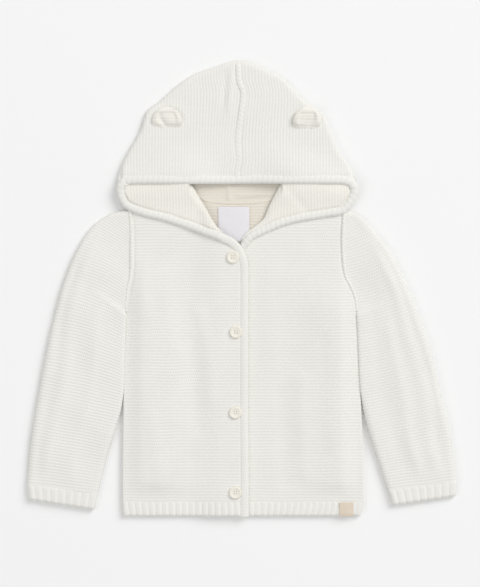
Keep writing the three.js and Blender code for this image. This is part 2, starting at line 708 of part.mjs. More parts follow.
function buildHoodSeam() {
  const path = [];
  for (let y = FOREHEAD_Y + 1.5; y <= 256; y += 7) {
    const x = read(HOOD_SEAM, 'y', 'x', y);
    const topHere = upperFloor(x, y) + KNIT;
    path.push({ x, y, z: topHere + GAP - 1.4 * ease(235, 262, y) ** 2 });
  }
  add('hood_seam', trim(path, SEAM_WIDTH, SEAM_HEIGHT, SEAM_RIB_PITCH, SEAM_RIB_DEPTH), COLOURS.rib);
}

// A cupped half-round ear, sewn down along its base, with a thick rim round a shallow hollow
function buildEar(name) {
  const ear = EARS[name];
  const away = name === 'right' ? -1 : 1;
  const across = Array.from({ length: 11 }, (_, i) => i / 5 - 1);
  const upward = [0, 0.15, 0.35, 0.6, 0.82, 1];
  const sheet = (upper) => upward.map((v) => across.map((u) => {
    const half = (ear.wide / 2) * Math.sqrt(1 - (v * 0.96) ** 3.2) * (0.86 + 0.14 * ease(0, 0.4, v));
    const x = ear.x + away * (u * half + 1.2 * v);
    const y = ear.y + ear.high * v * (1 - 0.1 * u * u);
    const fromRim = Math.min((1 - Math.abs(u)) * half, (1 - v) * ear.high * 0.9);
    const lift = mix(ear.innerLift, ear.outerLift, ease(-1, 1, u)) * ease(-0.2, 0.6, v);
    const hollow = 1.4 * ease(3.5, 8, fromRim) * ease(0, 0.25, v);
    const thick = 1.2 + 2.2 * ease(0, 4.5, fromRim) - hollow;
    return [x, y, upperFloor(x, y) + KNIT + GAP + lift + (upper ? thick : 0)];
  }));
  add(`ear_${name}`, wall(sheet(true), sheet(false)), COLOURS.knit);
}

// Four-hole button: rounded rim round a dished middle
function buttonGeometry() {
  const r = BUTTON_RADIUS;
  const h = BUTTON_HEIGHT;
  const profile = [
    [0, 0], [r * 0.8, 0], [r, h * 0.4], [r * 0.97, h * 0.75], [r * 0.85, h],
    [r * 0.72, h * 0.9], [r * 0.6, h * 0.6], [0, h * 0.55],
  ].map(([x, y]) => new THREE.Vector2(x, y));
  const lathe = new THREE.LatheGeometry(profile, 24);
  lathe.rotateX(Math.PI / 2);
  let solid = toSolid(merged(lathe));
  for (const [x, y] of [[-1, -1], [1, -1], [1, 1], [-1, 1]]) {
    const hole = new THREE.CylinderGeometry(HOLE_RADIUS, HOLE_RADIUS, h * 3, 8);
    hole.rotateX(Math.PI / 2);
    hole.translate(x * HOLE_OFFSET, y * HOLE_OFFSET, 0);
    solid = solid.subtract(toSolid(merged(hole)));
  }
  return fromSolid(solid);
}

// Same shape with shared vertices joined, those on the axis too
function merged(geometry) {
  const position = geometry.getAttribute('position');
  const index = geometry.getIndex();
  const found = new Map();
  const points = [];
  const remap = [];
  for (let i = 0; i < position.count; i += 1) {
    const point = [position.getX(i), position.getY(i), position.getZ(i)];
    const key = point.map((value) => Math.round(value * 1000) + 0).join(' ');
    if (!found.has(key)) {
      found.set(key, points.length);
      points.push(point);
    }
    remap.push(found.get(key));
  }
  const faces = [];
  for (let i = 0; i < index.count; i += 3) {
    const [a, b, c] = [remap[index.getX(i)], remap[index.getX(i + 1)], remap[index.getX(i + 2)]];
    if (a !== b && b !== c && a !== c) faces.push(a, b, c);
  }
  return geometryOf(points, faces);
}

function buildButtons() {
  BUTTONS.forEach(({ x, y }, i) => {
    const geometry = buttonGeometry();
    geometry.translate(x, y, rightFrontFloor(x, y) + KNIT + GAP);
    add(`button_${i + 1}`, geometry, COLOURS.button, 0.45);
  });
}

function buildPatches() {
  const flat = ({ x0, x1, y0, y1, thick }, floor) => {
    const box = new THREE.BoxGeometry(x1 - x0, y1 - y0, thick);
    box.translate((x0 + x1) / 2, (y0 + y1) / 2, floor + thick / 2);
    return merged(box);
  };
  add('neck_label', flat(LABEL, LAYER), COLOURS.label, 0.7);
  add('hem_tag', flat(TAG, LAYER + KNIT + RIB_RISE + GAP), COLOURS.tag, 0.8);
}

buildBody();
buildHem();
for (const name of ['right', 'left']) {
  buildSleeve(name);
  buildCuff(name);
  buildHoodSide(name);
  buildEar(name);
}
buildHoodSeam();
buildBands();
buildButtons();
buildPatches();

// The origin is the middle of the underside of the whole garment's box
const box = new THREE.Box3().setFromObject(garment);
garment.position.set(-(box.min.x + box.max.x) / 2, -(box.min.y + box.max.y) / 2, -box.min.z);

export default garment;
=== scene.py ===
import math

import bmesh
import bpy
import numpy as np
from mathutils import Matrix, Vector
from mathutils.geometry import delaunay_2d_cdt


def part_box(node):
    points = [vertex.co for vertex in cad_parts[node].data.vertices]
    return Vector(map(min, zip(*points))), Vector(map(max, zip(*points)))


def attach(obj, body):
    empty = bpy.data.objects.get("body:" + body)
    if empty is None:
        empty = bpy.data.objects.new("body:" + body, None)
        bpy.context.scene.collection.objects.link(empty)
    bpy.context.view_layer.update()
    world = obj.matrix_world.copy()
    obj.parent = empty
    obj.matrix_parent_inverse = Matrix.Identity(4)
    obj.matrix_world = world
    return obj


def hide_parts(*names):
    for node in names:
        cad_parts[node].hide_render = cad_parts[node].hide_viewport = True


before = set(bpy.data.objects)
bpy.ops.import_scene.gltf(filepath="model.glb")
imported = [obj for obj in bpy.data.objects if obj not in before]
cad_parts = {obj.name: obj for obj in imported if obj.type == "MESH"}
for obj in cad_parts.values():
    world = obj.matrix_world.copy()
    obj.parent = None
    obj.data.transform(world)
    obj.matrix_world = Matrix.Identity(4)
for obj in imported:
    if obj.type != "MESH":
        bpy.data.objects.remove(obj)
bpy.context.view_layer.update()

# A baby's hooded garter-stitch cardigan laid flat on its back and photographed from straight above.
# Shapes are worked out in millimetres in the garment's own plan: +X towards the wearer's left sleeve,
# +Y towards the hood's tip, +Z up. "right" and "left" are the wearer's.

# Driving dimensions, in millimetres
KNIT = 3.0          # thickness of the knitted wall
GAP = 0.3           # clearance between neighbouring pieces
LAYER = KNIT + GAP  # one layer lying on another
HEM_Y = -262.0
HEM_RIB = 16.0
HEM_RIBS = 18       # ribs across each front
CUFF_RIBS = 9
RIDGE = 3.45        # from one garter ridge to the next
RIDGE_STEP = RIDGE / 6  # from one row of points to the next
RIDGE_DEEP = 0.41
STITCH = 2.7        # width of one stitch
FRONT_EDGE_X = -0.5   # where the upper front ends beside its band
UNDER_FRONT_X = -14.0  # where the lower front ends beside its band, under the overlap
PANEL_BOTTOM = HEM_Y + HEM_RIB
SHOULDER_TIP_Y = 94.0
FOREHEAD_Y = 129.8    # edge of the hood's upper layer
LOWER_LAYER_Y = 118.0  # lower edge of the hood's lower layer
HOOD_TIP_Y = 262.0
HOOD_REST = 0.9       # air between the hood's two layers
HOOD_OPEN = 2.2       # further air between them at the face opening
BAND_WIDTH = 8.8
BAND_HEIGHT = 4.0
BAND_STITCH = 6.0   # one cast-off lump of the trim to the next
TRIM = {"Width": BAND_WIDTH, "Height": BAND_HEIGHT, "Stitch": BAND_STITCH, "Lump depth": 0.0, "Slant": 0.0,
        "Lean": 0.0, "Right foot": 0.3, "Left foot": 0.3, "Sides": 18}
BUTTON_RADIUS = 7.4
BUTTON_HEIGHT = 3.2
DISH_LEVEL = 0.78   # floor of a button's dish, as a share of its height
HOLE_OFFSET = 1.35
HOLE_RADIUS = 0.85
TRIM_SINK = 0.5     # how far a trim's foot sinks into the knit below it

# Shape of one row across the relief: the power of its rounding and the level that stays in place
GARTER_ROW = {"Rounding": 1.0, "Level": 0.62}
RIB_ROW = {"Rounding": 0.7, "Level": 0.45}
RIB_DEEP = 0.9

# Photograph's frame: millimetres to a pixel, and the pixel over the garment's middle
MM_PER_PIXEL = 1.15
PHOTO_SIZE = (480, 587)
MIDDLE_PIXEL = (241.5, 288.5)

# Tables: y, right side, left side
BODY_SIDES = [(-262, -136, 137), (-246, -137, 140.5), (-200, -137, 140), (-142, -136, 138), (-98, -135.5, 136),
              (-34, -133, 133), (-13, -131.5, 131), (1, -130, 126), (14, -127, 119.5), (30, -126, 117),
              (57, -126, 116), (94, -128, 118)]
# x, y of the upper edges
BACK_TOP = [(-128, 94), (-59, 118), (-51, 106), (-38, 99), (-5, 97), (28, 99), (41, 106), (49, 118), (118, 94)]
RIGHT_FRONT_TOP = [(-128, 94), (-66, 115), (-50, 88), (-36, 65), (-24, 57), (-15, 52), (-8.5, 46), (-4, 38),
                   (-1.6, 29)]
LEFT_FRONT_TOP = [(-14, 36), (-4, 47), (12, 58), (30, 76), (40, 96), (55, 116), (118, 94)]
HOOD_OUTLINE = [(-143, 113), (-140, 135), (-131, 156), (-117, 181), (-109, 204), (-94, 216), (-75, 233),
                (-56, 246), (-29, 256), (-4, 263), (11, 260), (29, 252), (49, 241), (63, 226), (78, 212),
                (95, 200), (103, 181), (112, 159), (124, 141), (133, 121)]
# y, x of the hood's middle seam
HOOD_SEAM = [(118, -5), (134, -5), (150, -3), (167, -4), (198, -1), (225, 2), (239, -3), (263, -4)]
# x, y of the folded-out part's inner and lower edges
WING_INNER = {"right": [(-60, 124), (-42, 94), (-29, 72), (-22, 65)],
              "left": [(47, 124), (33, 98), (25, 80), (15, 71.5), (6, 64.5), (0.5, 58.5)]}
WING_LOWER = {"right": [(-22, 65), (-41, 72), (-64, 80), (-86, 87), (-111, 93.5), (-128, 100.5), (-133.6, 111)],
              "left": [(0.5, 58.5), (5, 61.5), (14, 67.5), (32, 76), (50, 82.5), (68, 87), (96, 92),
                       (113, 95.5), (123.8, 111)]}
# x, y and layer of the band round the face: 0 on the folded-out part, 1 on the upper layer
FACE_BAND = [(-17, 56, -0.35), (-26, 60.2, 0), (-44, 67, 0), (-66, 75, 0), (-88, 82, 0), (-112, 88, 0),
             (-131, 96, 0.05), (-138.4, 109, 0.35), (-137.6, 119, 0.8), (-129, 124, 1), (-90, 124.8, 1),
             (-45, 124.6, 1),
             (0, 125, 1), (45, 125, 1), (90, 124.8, 1), (117, 124.2, 1), (127.5, 119, 0.8), (128.5, 108, 0.35),
             (117, 91, 0.05), (96, 86.5, 0), (67, 81.5, 0), (46, 76, 0), (27, 68, 0), (14, 62, 0), (8, 57, -0.1),
             (4, 51, -0.35), (0.5, 45, -0.7), (-1.8, 38.5, -0.95)]
# x, y, z of the band down the upper front
RIGHT_FRONT_BAND = [(-25, 59.8, 9.4), (-20.5, 57.8, 9.0), (-12, 53.5, 8.2), (-5, 47, 7.2), (0, 38, 6.7),
                    (2.7, 27, 6.6), (3.2, 8, 6.6), (3.0, -60, 6.6), (2.8, -130, 6.6), (3.4, -200, 6.6),
                    (3.6, -262, 6.6)]
LEFT_FRONT_BAND = [(-18.6, 34, 3.3), (-18.6, -60, 3.3), (-18.6, -160, 3.3), (-18.6, -262, 3.3)]
# inner x, inner y, outer x, outer y, height and bow of rows across each sleeve
SLEEVES = {
    "right": [(-134, -28, -128.6, 91, 6.4, 0), (-134.6, -38, -148, 87, 7.2, 5), (-135.4, -52, -170, 73, 8.2, 4),
              (-136, -68, -189, 45, 8.8, 3), (-136.6, -87, -204, 9, 9, 2), (-137.2, -110, -216, -34, 9, 1),
              (-138.6, -137, -227, -85, 9, 0), (-145, -163, -236, -135, 8.8, 0),
              (-154.5, -194, -243, -180, 8.4, 0), (-165, -236, -247, -226, 7.8, 0)],
    "left": [(134, -27, 118.8, 91, 6.4, 0), (134.6, -38, 133, 86, 7.2, -4), (135.4, -52, 153, 66, 8.2, -4),
             (136.2, -68, 172, 41, 8.8, -4), (137, -87, 187, 10, 9, -3), (138, -110, 202, -27, 9, -1),
             (140, -137, 217, -68, 9, 0), (147, -168, 230, -124, 8.8, 0), (156.5, -197, 240, -167, 8.4, 0),
             (168, -232, 248, -222, 7.8, 0)]}
# inner x, inner y, outer x, outer y of the cuffs' open ends
CUFF_ENDS = {"right": (-169, -255, -245, -243), "left": (174, -250, 247, -239)}
# Soft folds of the fronts: two ends, half width and height; troughs have a height below nothing
FRONT_FOLDS = [(-112, -20, -104, -205, 42, 4.4), (-84, 10, -80, -150, 12, 0.9), (-48, -30, -36, -125, 9, 1.0),
               (-64, -60, -50, -160, 9, -0.8), (110, -30, 114, -205, 38, 5.4), (66, -105, 69, -212, 9, 1.2),
               (34, 20, 30, -90, 12, 0.8), (44, -120, 48, -220, 9, -0.7), (90, -60, 92, -190, 9, -0.6),
               (-104, -150, -96, -225, 9, 0.7), (-112, 40, -108, -30, 8, 0.5)]
BUTTONS = [(-10, 36), (-6.4, -50), (-7, -142.5), (-7, -234.5)]
# x, y, width, height, outer curl, inner curl
EARS = {"right": (-85, 184.5, 36, 25, 3, 6), "left": (75, 183.5, 34, 26, 4, 8.5)}
LABEL = (-27, 9, 54, 94)
TAG = (112.5, 128.5, -262, -246)


def ease(start, end, value):
    """Soft step from 0 at start to 1 at end."""
    t = np.clip((value - start) / (end - start), 0, 1)
    return t * t * (3 - 2 * t)


def mix(a, b, t):
    return a + (b - a) * t


def curve(keys, values):
    """Smooth curve through a table's rows that never overshoots them."""
    order = np.argsort(keys)
    k, v = np.array(keys, float)[order], np.array(values, float)[order]
    slope = np.diff(v) / np.diff(k)
    before, after = slope[:-1], slope[1:]
    inner = np.where(before * after > 0, 2 * before * after / np.where(before + after == 0, 1, before + after), 0)
    tangent = np.concatenate([slope[:1], inner, slope[-1:]])

    def value(x):
        x = np.clip(x, k[0], k[-1])
        i = np.clip(np.searchsorted(k, x, side="right") - 1, 0, len(k) - 2)
        width, rise = k[i + 1] - k[i], v[i + 1] - v[i]
        t = (x - k[i]) / width
        bend, unbend = tangent[i] * width - rise, rise - tangent[i + 1] * width
        return v[i] + rise * t + t * (1 - t) * (bend * (1 - t) + unbend * t)
    return value


def columns(table):
    return list(zip(*table))


def drift(x, y, size, seed):
    """Slow uneven waves, mostly within -1 to 1, for cloth that is never quite even."""
    rng = np.random.default_rng(seed)
    total = 0.0
    for _ in range(5):
        angle, stretch, phase = rng.uniform(0, 2 * math.pi), rng.uniform(0.7, 1.5), rng.uniform(0, 2 * math.pi)
        wave = 2 * math.pi / (size * stretch)
        total = total + np.sin(wave * (x * math.cos(angle) + y * math.sin(angle)) + phase)
    return total / 3


y_sides, right_sides, left_sides = columns(BODY_SIDES)
side_at = {"right": curve(y_sides, right_sides), "left": curve(y_sides, left_sides)}
back_top = curve(*columns(BACK_TOP))
right_front_top = curve(*columns(RIGHT_FRONT_TOP))
left_front_top = curve(*columns(LEFT_FRONT_TOP))
hood_outline = curve(*columns(HOOD_OUTLINE))
hood_seam_x = curve(*columns(HOOD_SEAM))
wing_inner_x = {k: curve(columns(v)[1], columns(v)[0]) for k, v in WING_INNER.items()}
wing_inner_y = {k: curve(columns(v)[0], columns(v)[1]) for k, v in WING_INNER.items()}
wing_lower_y = {k: curve(columns(v)[0], columns(v)[1]) for k, v in WING_LOWER.items()}

# The frame's origin is the middle of the whole garment's underside; the plan's own origin lies a little off it
back_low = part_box("back_panel")[0]
SHIFT = np.array([back_low[0] * 1000 - min(right_sides), back_low[1] * 1000 - (PANEL_BOTTOM + GAP), 0.0])


UP = np.array([0.0, 0.0, 1.0])
HELPER_ATTRIBUTES = ("row", "lift", "paint", "tall", "along", "ahead", "centre", "angle")
# the third yarn is a darker beige copy of the ivory yarn: painted shade inside the neck
YARN_INPUTS = ("Yarn", "Yarn of the folded-out face", "Yarn inside the neck with painted shade")


def to_frame(points):
    """Millimetres in the garment's plan as metres in the shared frame."""
    return ((points + SHIFT) / 1000).astype(np.float32)


def set_attribute(mesh, name, kind, domain, values):
    layer = mesh.attributes.new(name, kind, domain)
    layer.data.foreach_set("vector" if kind == "FLOAT_VECTOR" else "value", values.astype(np.float32).ravel())


def make_piece(name, mesh, tree, sizes, node=None):
    rough = bpy.data.objects.new(name + "_rough", mesh)
    bpy.context.scene.collection.objects.link(rough)
    modifier = rough.modifiers.new(tree.name, "NODES")
    modifier.node_group = tree
    for socket in tree.interface.items_tree:
        if socket.in_out == "INPUT" and socket.name in sizes:
            modifier[socket.identifier] = sizes[socket.name]
    rough.update_tag()
    graph = bpy.context.evaluated_depsgraph_get()
    evaluated = rough.evaluated_get(graph)
    made = bpy.data.meshes.new_from_object(evaluated, preserve_all_data_layers=True, depsgraph=graph)
    bpy.data.objects.remove(rough)
    bpy.data.meshes.remove(mesh)
    made.name = name
    for used in [layer.name for layer in made.attributes if layer.name in HELPER_ATTRIBUTES]:
        made.attributes.remove(made.attributes[used])
    solid = bmesh.new()
    solid.from_mesh(made)
    bmesh.ops.remove_doubles(solid, verts=solid.verts, dist=2e-6)
    bmesh.ops.dissolve_degenerate(solid, edges=solid.edges, dist=1e-6)
    bmesh.ops.recalc_face_normals(solid, faces=solid.faces)
    solid.to_mesh(made)
    solid.free()
    made.shade_smooth()
    made.set_sharp_from_angle(angle=math.radians(50))
    piece = bpy.data.objects.new(name, made)
    bpy.context.scene.collection.objects.link(piece)
    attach(piece, "root")
    if node:
        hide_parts(node)
    return piece


class Fabric:
    """Gathers one piece's points, faces and knit coordinates: millimetres along a ridge, and ridges crossed.

    Relief is kept beside them, as the row that a point lies on and how far a full row would raise it.
    """

    def __init__(self):
        self.points, self.knit, self.quads, self.tris, self.count = [], [], [], [], 0
        self.quad_paint, self.tri_paint, self.paint = [], [], 0
        self.row, self.lift = [], []

    def add_points(self, points, knit, relief=(0.0, 0.0, UP)):
        shape = points.shape[:-1]
        total = int(np.prod(shape))
        self.points.append(points.reshape(-1, 3))
        self.knit.append(np.broadcast_to(knit, shape + (2,)).reshape(-1, 2))
        row, deep, direction = relief
        self.row.append(np.broadcast_to(row, shape).ravel())
        self.lift.append((np.broadcast_to(deep, shape)[..., None] * direction).reshape(-1, 3))
        self.count += total
        return self.count - total + np.arange(total).reshape(shape)

    def add_quads(self, quads):
        self.quads.append(quads)
        self.quad_paint.append(np.full(len(quads), self.paint))

    def add_tris(self, tris):
        self.tris.append(tris)
        self.tri_paint.append(np.full(len(tris), self.paint))

    def grid(self, points, knit, loop=False, keep=None, flip=False, relief=(0.0, 0.0, UP)):
        ids = self.add_points(points, knit, relief)
        beside = np.roll(ids, -1, axis=1)
        quads = np.stack([ids[:-1], beside[:-1], beside[1:], ids[1:]], axis=-1)
        if not loop:
            quads = quads[:, :-1]
        quads = quads[keep] if keep is not None else quads.reshape(-1, 4)
        self.add_quads(quads.reshape(-1, 4)[:, ::-1] if flip else quads.reshape(-1, 4))
        return ids

    def fan(self, ring, centre, knit):
        """Closes a ring of points onto one point."""
        middle = self.add_points(np.array(centre, float)[None, :], knit)[0]
        ring = np.asarray(ring)
        self.add_tris(np.stack([ring, np.roll(ring, -1), np.full(len(ring), middle)], axis=-1))

    def zip_rows(self, first, second):
        """Joins two lists of points of different lengths with triangles."""
        i, j = 0, 0
        made = []
        while i < len(first) - 1 or j < len(second) - 1:
            along_first = (i + 1) / (len(first) - 1) if i < len(first) - 1 else 2
            along_second = (j + 1) / (len(second) - 1) if j < len(second) - 1 else 2
            if along_first <= along_second:
                made.append((first[i], first[i + 1], second[j]))
                i += 1
            else:
                made.append((first[i], second[j + 1], second[j]))
                j += 1
        self.add_tris(np.array(made))

    def slab(self, top, under, knit, flip=False, relief=(0.0, 0.0, UP)):
        """A closed piece of cloth: its upper face, its underside and the four edges between them."""
        upper = self.grid(top, knit, flip=flip, relief=relief)
        lower = self.grid(under, knit, flip=not flip)
        for a, b in ((upper[0], lower[0]), (upper[:, -1], lower[:, -1]),
                     (upper[-1][::-1], lower[-1][::-1]), (upper[::-1, 0], lower[::-1, 0])):
            edge = np.stack([b[:-1], b[1:], a[1:], a[:-1]], axis=-1)
            self.add_quads(edge[:, ::-1] if flip else edge)

    def close_below(self, floor, spacing=14.0):
        """Turns every open edge down to the floor height of the piece and closes the underside."""
        quads = np.concatenate(self.quads)
        edges = np.concatenate([quads[:, [i, (i + 1) % 4]] for i in range(4)])
        key = edges.min(axis=1) * (self.count + 1) + edges.max(axis=1)
        _, first, uses = np.unique(key, return_index=True, return_counts=True)
        border = edges[first[uses == 1]]
        points, knit = np.concatenate(self.points), np.concatenate(self.knit)
        used, where = np.unique(border, return_inverse=True)
        where = where.reshape(-1, 2)
        low = points[used].copy()
        low[:, 2] = np.minimum(floor(low[:, 0], low[:, 1]), low[:, 2] - 0.05)
        ids = self.add_points(low, knit[used])
        self.add_quads(np.stack([border[:, 1], border[:, 0], ids[where[:, 0]], ids[where[:, 1]]], axis=-1))
        span = [np.arange(low[:, k].min() + 5, low[:, k].max(), spacing) for k in (0, 1)]
        inside = np.stack(np.meshgrid(*span), axis=-1).reshape(-1, 2)
        flat = [Vector(p) for p in np.concatenate([low[:, :2], inside]).tolist()]
        made, _, faces, came_from, _, _ = delaunay_2d_cdt(flat, where.tolist(), [], 1, 1e-4)
        made = np.array([tuple(p) for p in made])
        new = [i for i, origin in enumerate(came_from) if not origin or min(origin) >= len(low)]
        target = np.array([ids[min(origin)] if origin and min(origin) < len(low) else 0 for origin in came_from])
        x, y = made[new, 0], made[new, 1]
        target[new] = self.add_points(with_z(x, y, floor(x, y)), pair(x, y / RIDGE))
        self.add_tris(target[np.array(faces)][:, ::-1])

    def make(self, name, material, node=None, slot="knit", rows=GARTER_ROW):
        quads = np.concatenate(self.quads) if self.quads else np.zeros((0, 4), int)
        tris = np.concatenate(self.tris) if self.tris else np.zeros((0, 3), int)
        corners = np.concatenate([quads.ravel(), tris.ravel()]).astype(np.int32)
        sizes = np.concatenate([np.full(len(quads), 4), np.full(len(tris), 3)]).astype(np.int32)
        mesh = bpy.data.meshes.new(name)
        mesh.vertices.add(self.count)
        mesh.vertices.foreach_set("co", to_frame(np.concatenate(self.points)).ravel())
        mesh.loops.add(len(corners))
        mesh.loops.foreach_set("vertex_index", corners)
        mesh.polygons.add(len(sizes))
        mesh.polygons.foreach_set("loop_start", np.concatenate([[0], np.cumsum(sizes)[:-1]]).astype(np.int32))
        mesh.update(calc_edges=True)
        layer = mesh.uv_layers.new(name="knit")
        layer.data.foreach_set("uv", np.concatenate(self.knit)[corners].astype(np.float32).ravel())
        set_attribute(mesh, "row", "FLOAT", "POINT", np.concatenate(self.row))
        set_attribute(mesh, "lift", "FLOAT_VECTOR", "POINT", np.concatenate(self.lift) / 1000)
        set_attribute(mesh, "paint", "FLOAT", "FACE", np.concatenate(self.quad_paint + self.tri_paint))
        yarns = material if isinstance(material, tuple) else (material,) * 3
        return make_piece(name, mesh, relief_tree, {**rows, **dict(zip(YARN_INPUTS, yarns))}, node)


def plan_area(points):
    """Flat area, in square metres, of a grid of points seen from above."""
    a, b, c, d = points[:-1, :-1, :2], points[:-1, 1:, :2], points[1:, 1:, :2], points[1:, :-1, :2]
    cross = (c - a)[..., 0] * (d - b)[..., 1] - (c - a)[..., 1] * (d - b)[..., 0]
    return float(np.abs(cross).sum() / 2) / 1e6


def with_z(x, y, z):
    return np.stack(np.broadcast_arrays(x, y, z), axis=-1).astype(float)


def pair(u, v):
    return np.stack(np.broadcast_arrays(u, v), axis=-1).astype(float)


def rounded(distance, radius):
    """1 in the cloth's middle, falling to 0 at its edge like a quarter circle."""
    away = 1 - np.clip(distance / radius, 0, 1)
    return np.sqrt(np.clip(1 - away * away, 0, 1))


# Heights of the layers

def fold_rise(x, y):
    rise = 0.0
    inside = ease(136, 112, np.abs(x))
    x = x + 4.0 * drift(0.0 * x, y, 110, 51)
    for x0, y0, x1, y1, wide, high in FRONT_FOLDS:
        dx, dy = x1 - x0, y1 - y0
        t = np.clip(((x - x0) * dx + (y - y0) * dy) / (dx * dx + dy * dy), 0, 1)
        away = np.hypot(x - x0 - t * dx, y - y0 - t * dy) / wide
        rise = rise + high * np.exp(-away * away)
    return rise * inside * ease(60, 20, y) * ease(PANEL_BOTTOM, PANEL_BOTTOM + 25, y)


def overlap_rise(x, y):
    return LAYER * ease(-60 + 8 * drift(0.0 * x, y, 130, 71), -21, x)


def right_front_floor(x, y):
    return LAYER + overlap_rise(x, y) + fold_rise(x, y)


def left_front_floor(x, y):
    return LAYER + fold_rise(x, y) * ease(-2, 20, x)


shoulder_line = curve(*columns([BACK_TOP[0], BACK_TOP[1], BACK_TOP[7], BACK_TOP[8]]))


def shoulder_lift(x, y, share):
    near = ease(shoulder_line(x) + 55, shoulder_line(x) + 5, y)
    on_right = LAYER * ease(-52, -35, x) * ease(105, 85, y) * (x < 0)
    return (2 * LAYER * near + on_right) * share


def lower_floor(x, y):
    fold_x = np.where(x < 0, np.abs(wing_inner_x["right"](y)), wing_inner_x["left"](y))
    return shoulder_lift(x, y, ease(fold_x - 8, fold_x - 2, np.abs(x)))


def upper_floor(x, y):
    bridge = ease(18, 64, np.abs(x + 4))
    return KNIT + HOOD_REST + HOOD_OPEN * ease(215, 130, y) + shoulder_lift(x, np.maximum(y, LOWER_LAYER_Y), bridge)


# Materials

def linear(code):
    """sRGB hex code as linear colour."""
    channels = [int(code[i:i + 2], 16) / 255 for i in (1, 3, 5)]
    return [c / 12.92 if c <= 0.04045 else ((c + 0.055) / 1.055) ** 2.4 for c in channels] + [1.0]


def new_material(name):
    material = bpy.data.materials.new(name)
    material.use_nodes = True
    return material, material.node_tree, material.node_tree.nodes["Principled BSDF"]


def add_node(tree, kind, inputs=None, **settings):
    """One shader node, its settings, and its inputs as values or as links from other nodes' outputs."""
    node = tree.nodes.new(kind)
    for key, value in settings.items():
        setattr(node, key, value)
    for key, value in (inputs or {}).items():
        if isinstance(value, bpy.types.NodeSocket):
            tree.links.new(value, node.inputs[key])
        else:
            node.inputs[key].default_value = value
    return node


def work_out(tree, known, steps):
    """One maths node for each row of a table: its result's name, operation, first and second value."""
    known = dict(known)
    for result, operation, *values in steps:
        sources = {i: known[v] if isinstance(v, str) else v for i, v in enumerate(values)}
        known[result] = add_node(tree, "ShaderNodeMath", sources, operation=operation).outputs[0]
    return known


def new_tree(name, sockets):
    """A geometry node tree with named inputs for its sizes; hands back the tree and its inputs' sockets."""
    tree = bpy.data.node_groups.new(name, "GeometryNodeTree")
    tree.interface.new_socket("Geometry", in_out="OUTPUT", socket_type="NodeSocketGeometry")
    for label, kind in {"Geometry": "Geometry", **sockets}.items():
        tree.interface.new_socket(label, in_out="INPUT", socket_type="NodeSocket" + kind)
    return tree, add_node(tree, "NodeGroupInput").outputs


def build_relief_tree():
    """Raises rows of knitting: garter ridges or ribs, each point by its place across its row."""
    tree, given = new_tree("knitted_relief", {"Rounding": "Float", "Level": "Float",
                                              **{label: "Material" for label in YARN_INPUTS}})
    stored = {name: add_node(tree, "GeometryNodeInputNamedAttribute", {"Name": name}, data_type=kind).outputs[0]
              for name, kind in (("row", "FLOAT"), ("paint", "FLOAT"), ("lift", "FLOAT_VECTOR"))}
    known = {"row": stored["row"], "paint": stored["paint"], "rounding": given["Rounding"], "level": given["Level"]}
    known = work_out(tree, known, [
        ("turn", "MULTIPLY", "row", math.pi),
        ("wave", "SINE", "turn"),
        ("wave", "ABSOLUTE", "wave"),
        ("wave", "POWER", "wave", "rounding"),
        ("raised", "SUBTRACT", "wave", "level"),
        ("inside", "SUBTRACT", "paint", 1.0)])
    offset = add_node(tree, "ShaderNodeVectorMath", {0: stored["lift"], "Scale": known["raised"]},
                      operation="SCALE")
    shape = add_node(tree, "GeometryNodeSetPosition", {"Geometry": given["Geometry"], "Offset": offset.outputs[0]})
    shape = add_node(tree, "GeometryNodeRealizeInstances", {"Geometry": shape.outputs[0]})
    for label, faces in zip(YARN_INPUTS, (True, known["paint"], known["inside"])):
        shape = add_node(tree, "GeometryNodeSetMaterial", {"Geometry": shape.outputs[0], "Selection": faces,
                                                           "Material": given[label]})
    add_node(tree, "NodeGroupOutput", {0: shape.outputs[0]})
    return tree


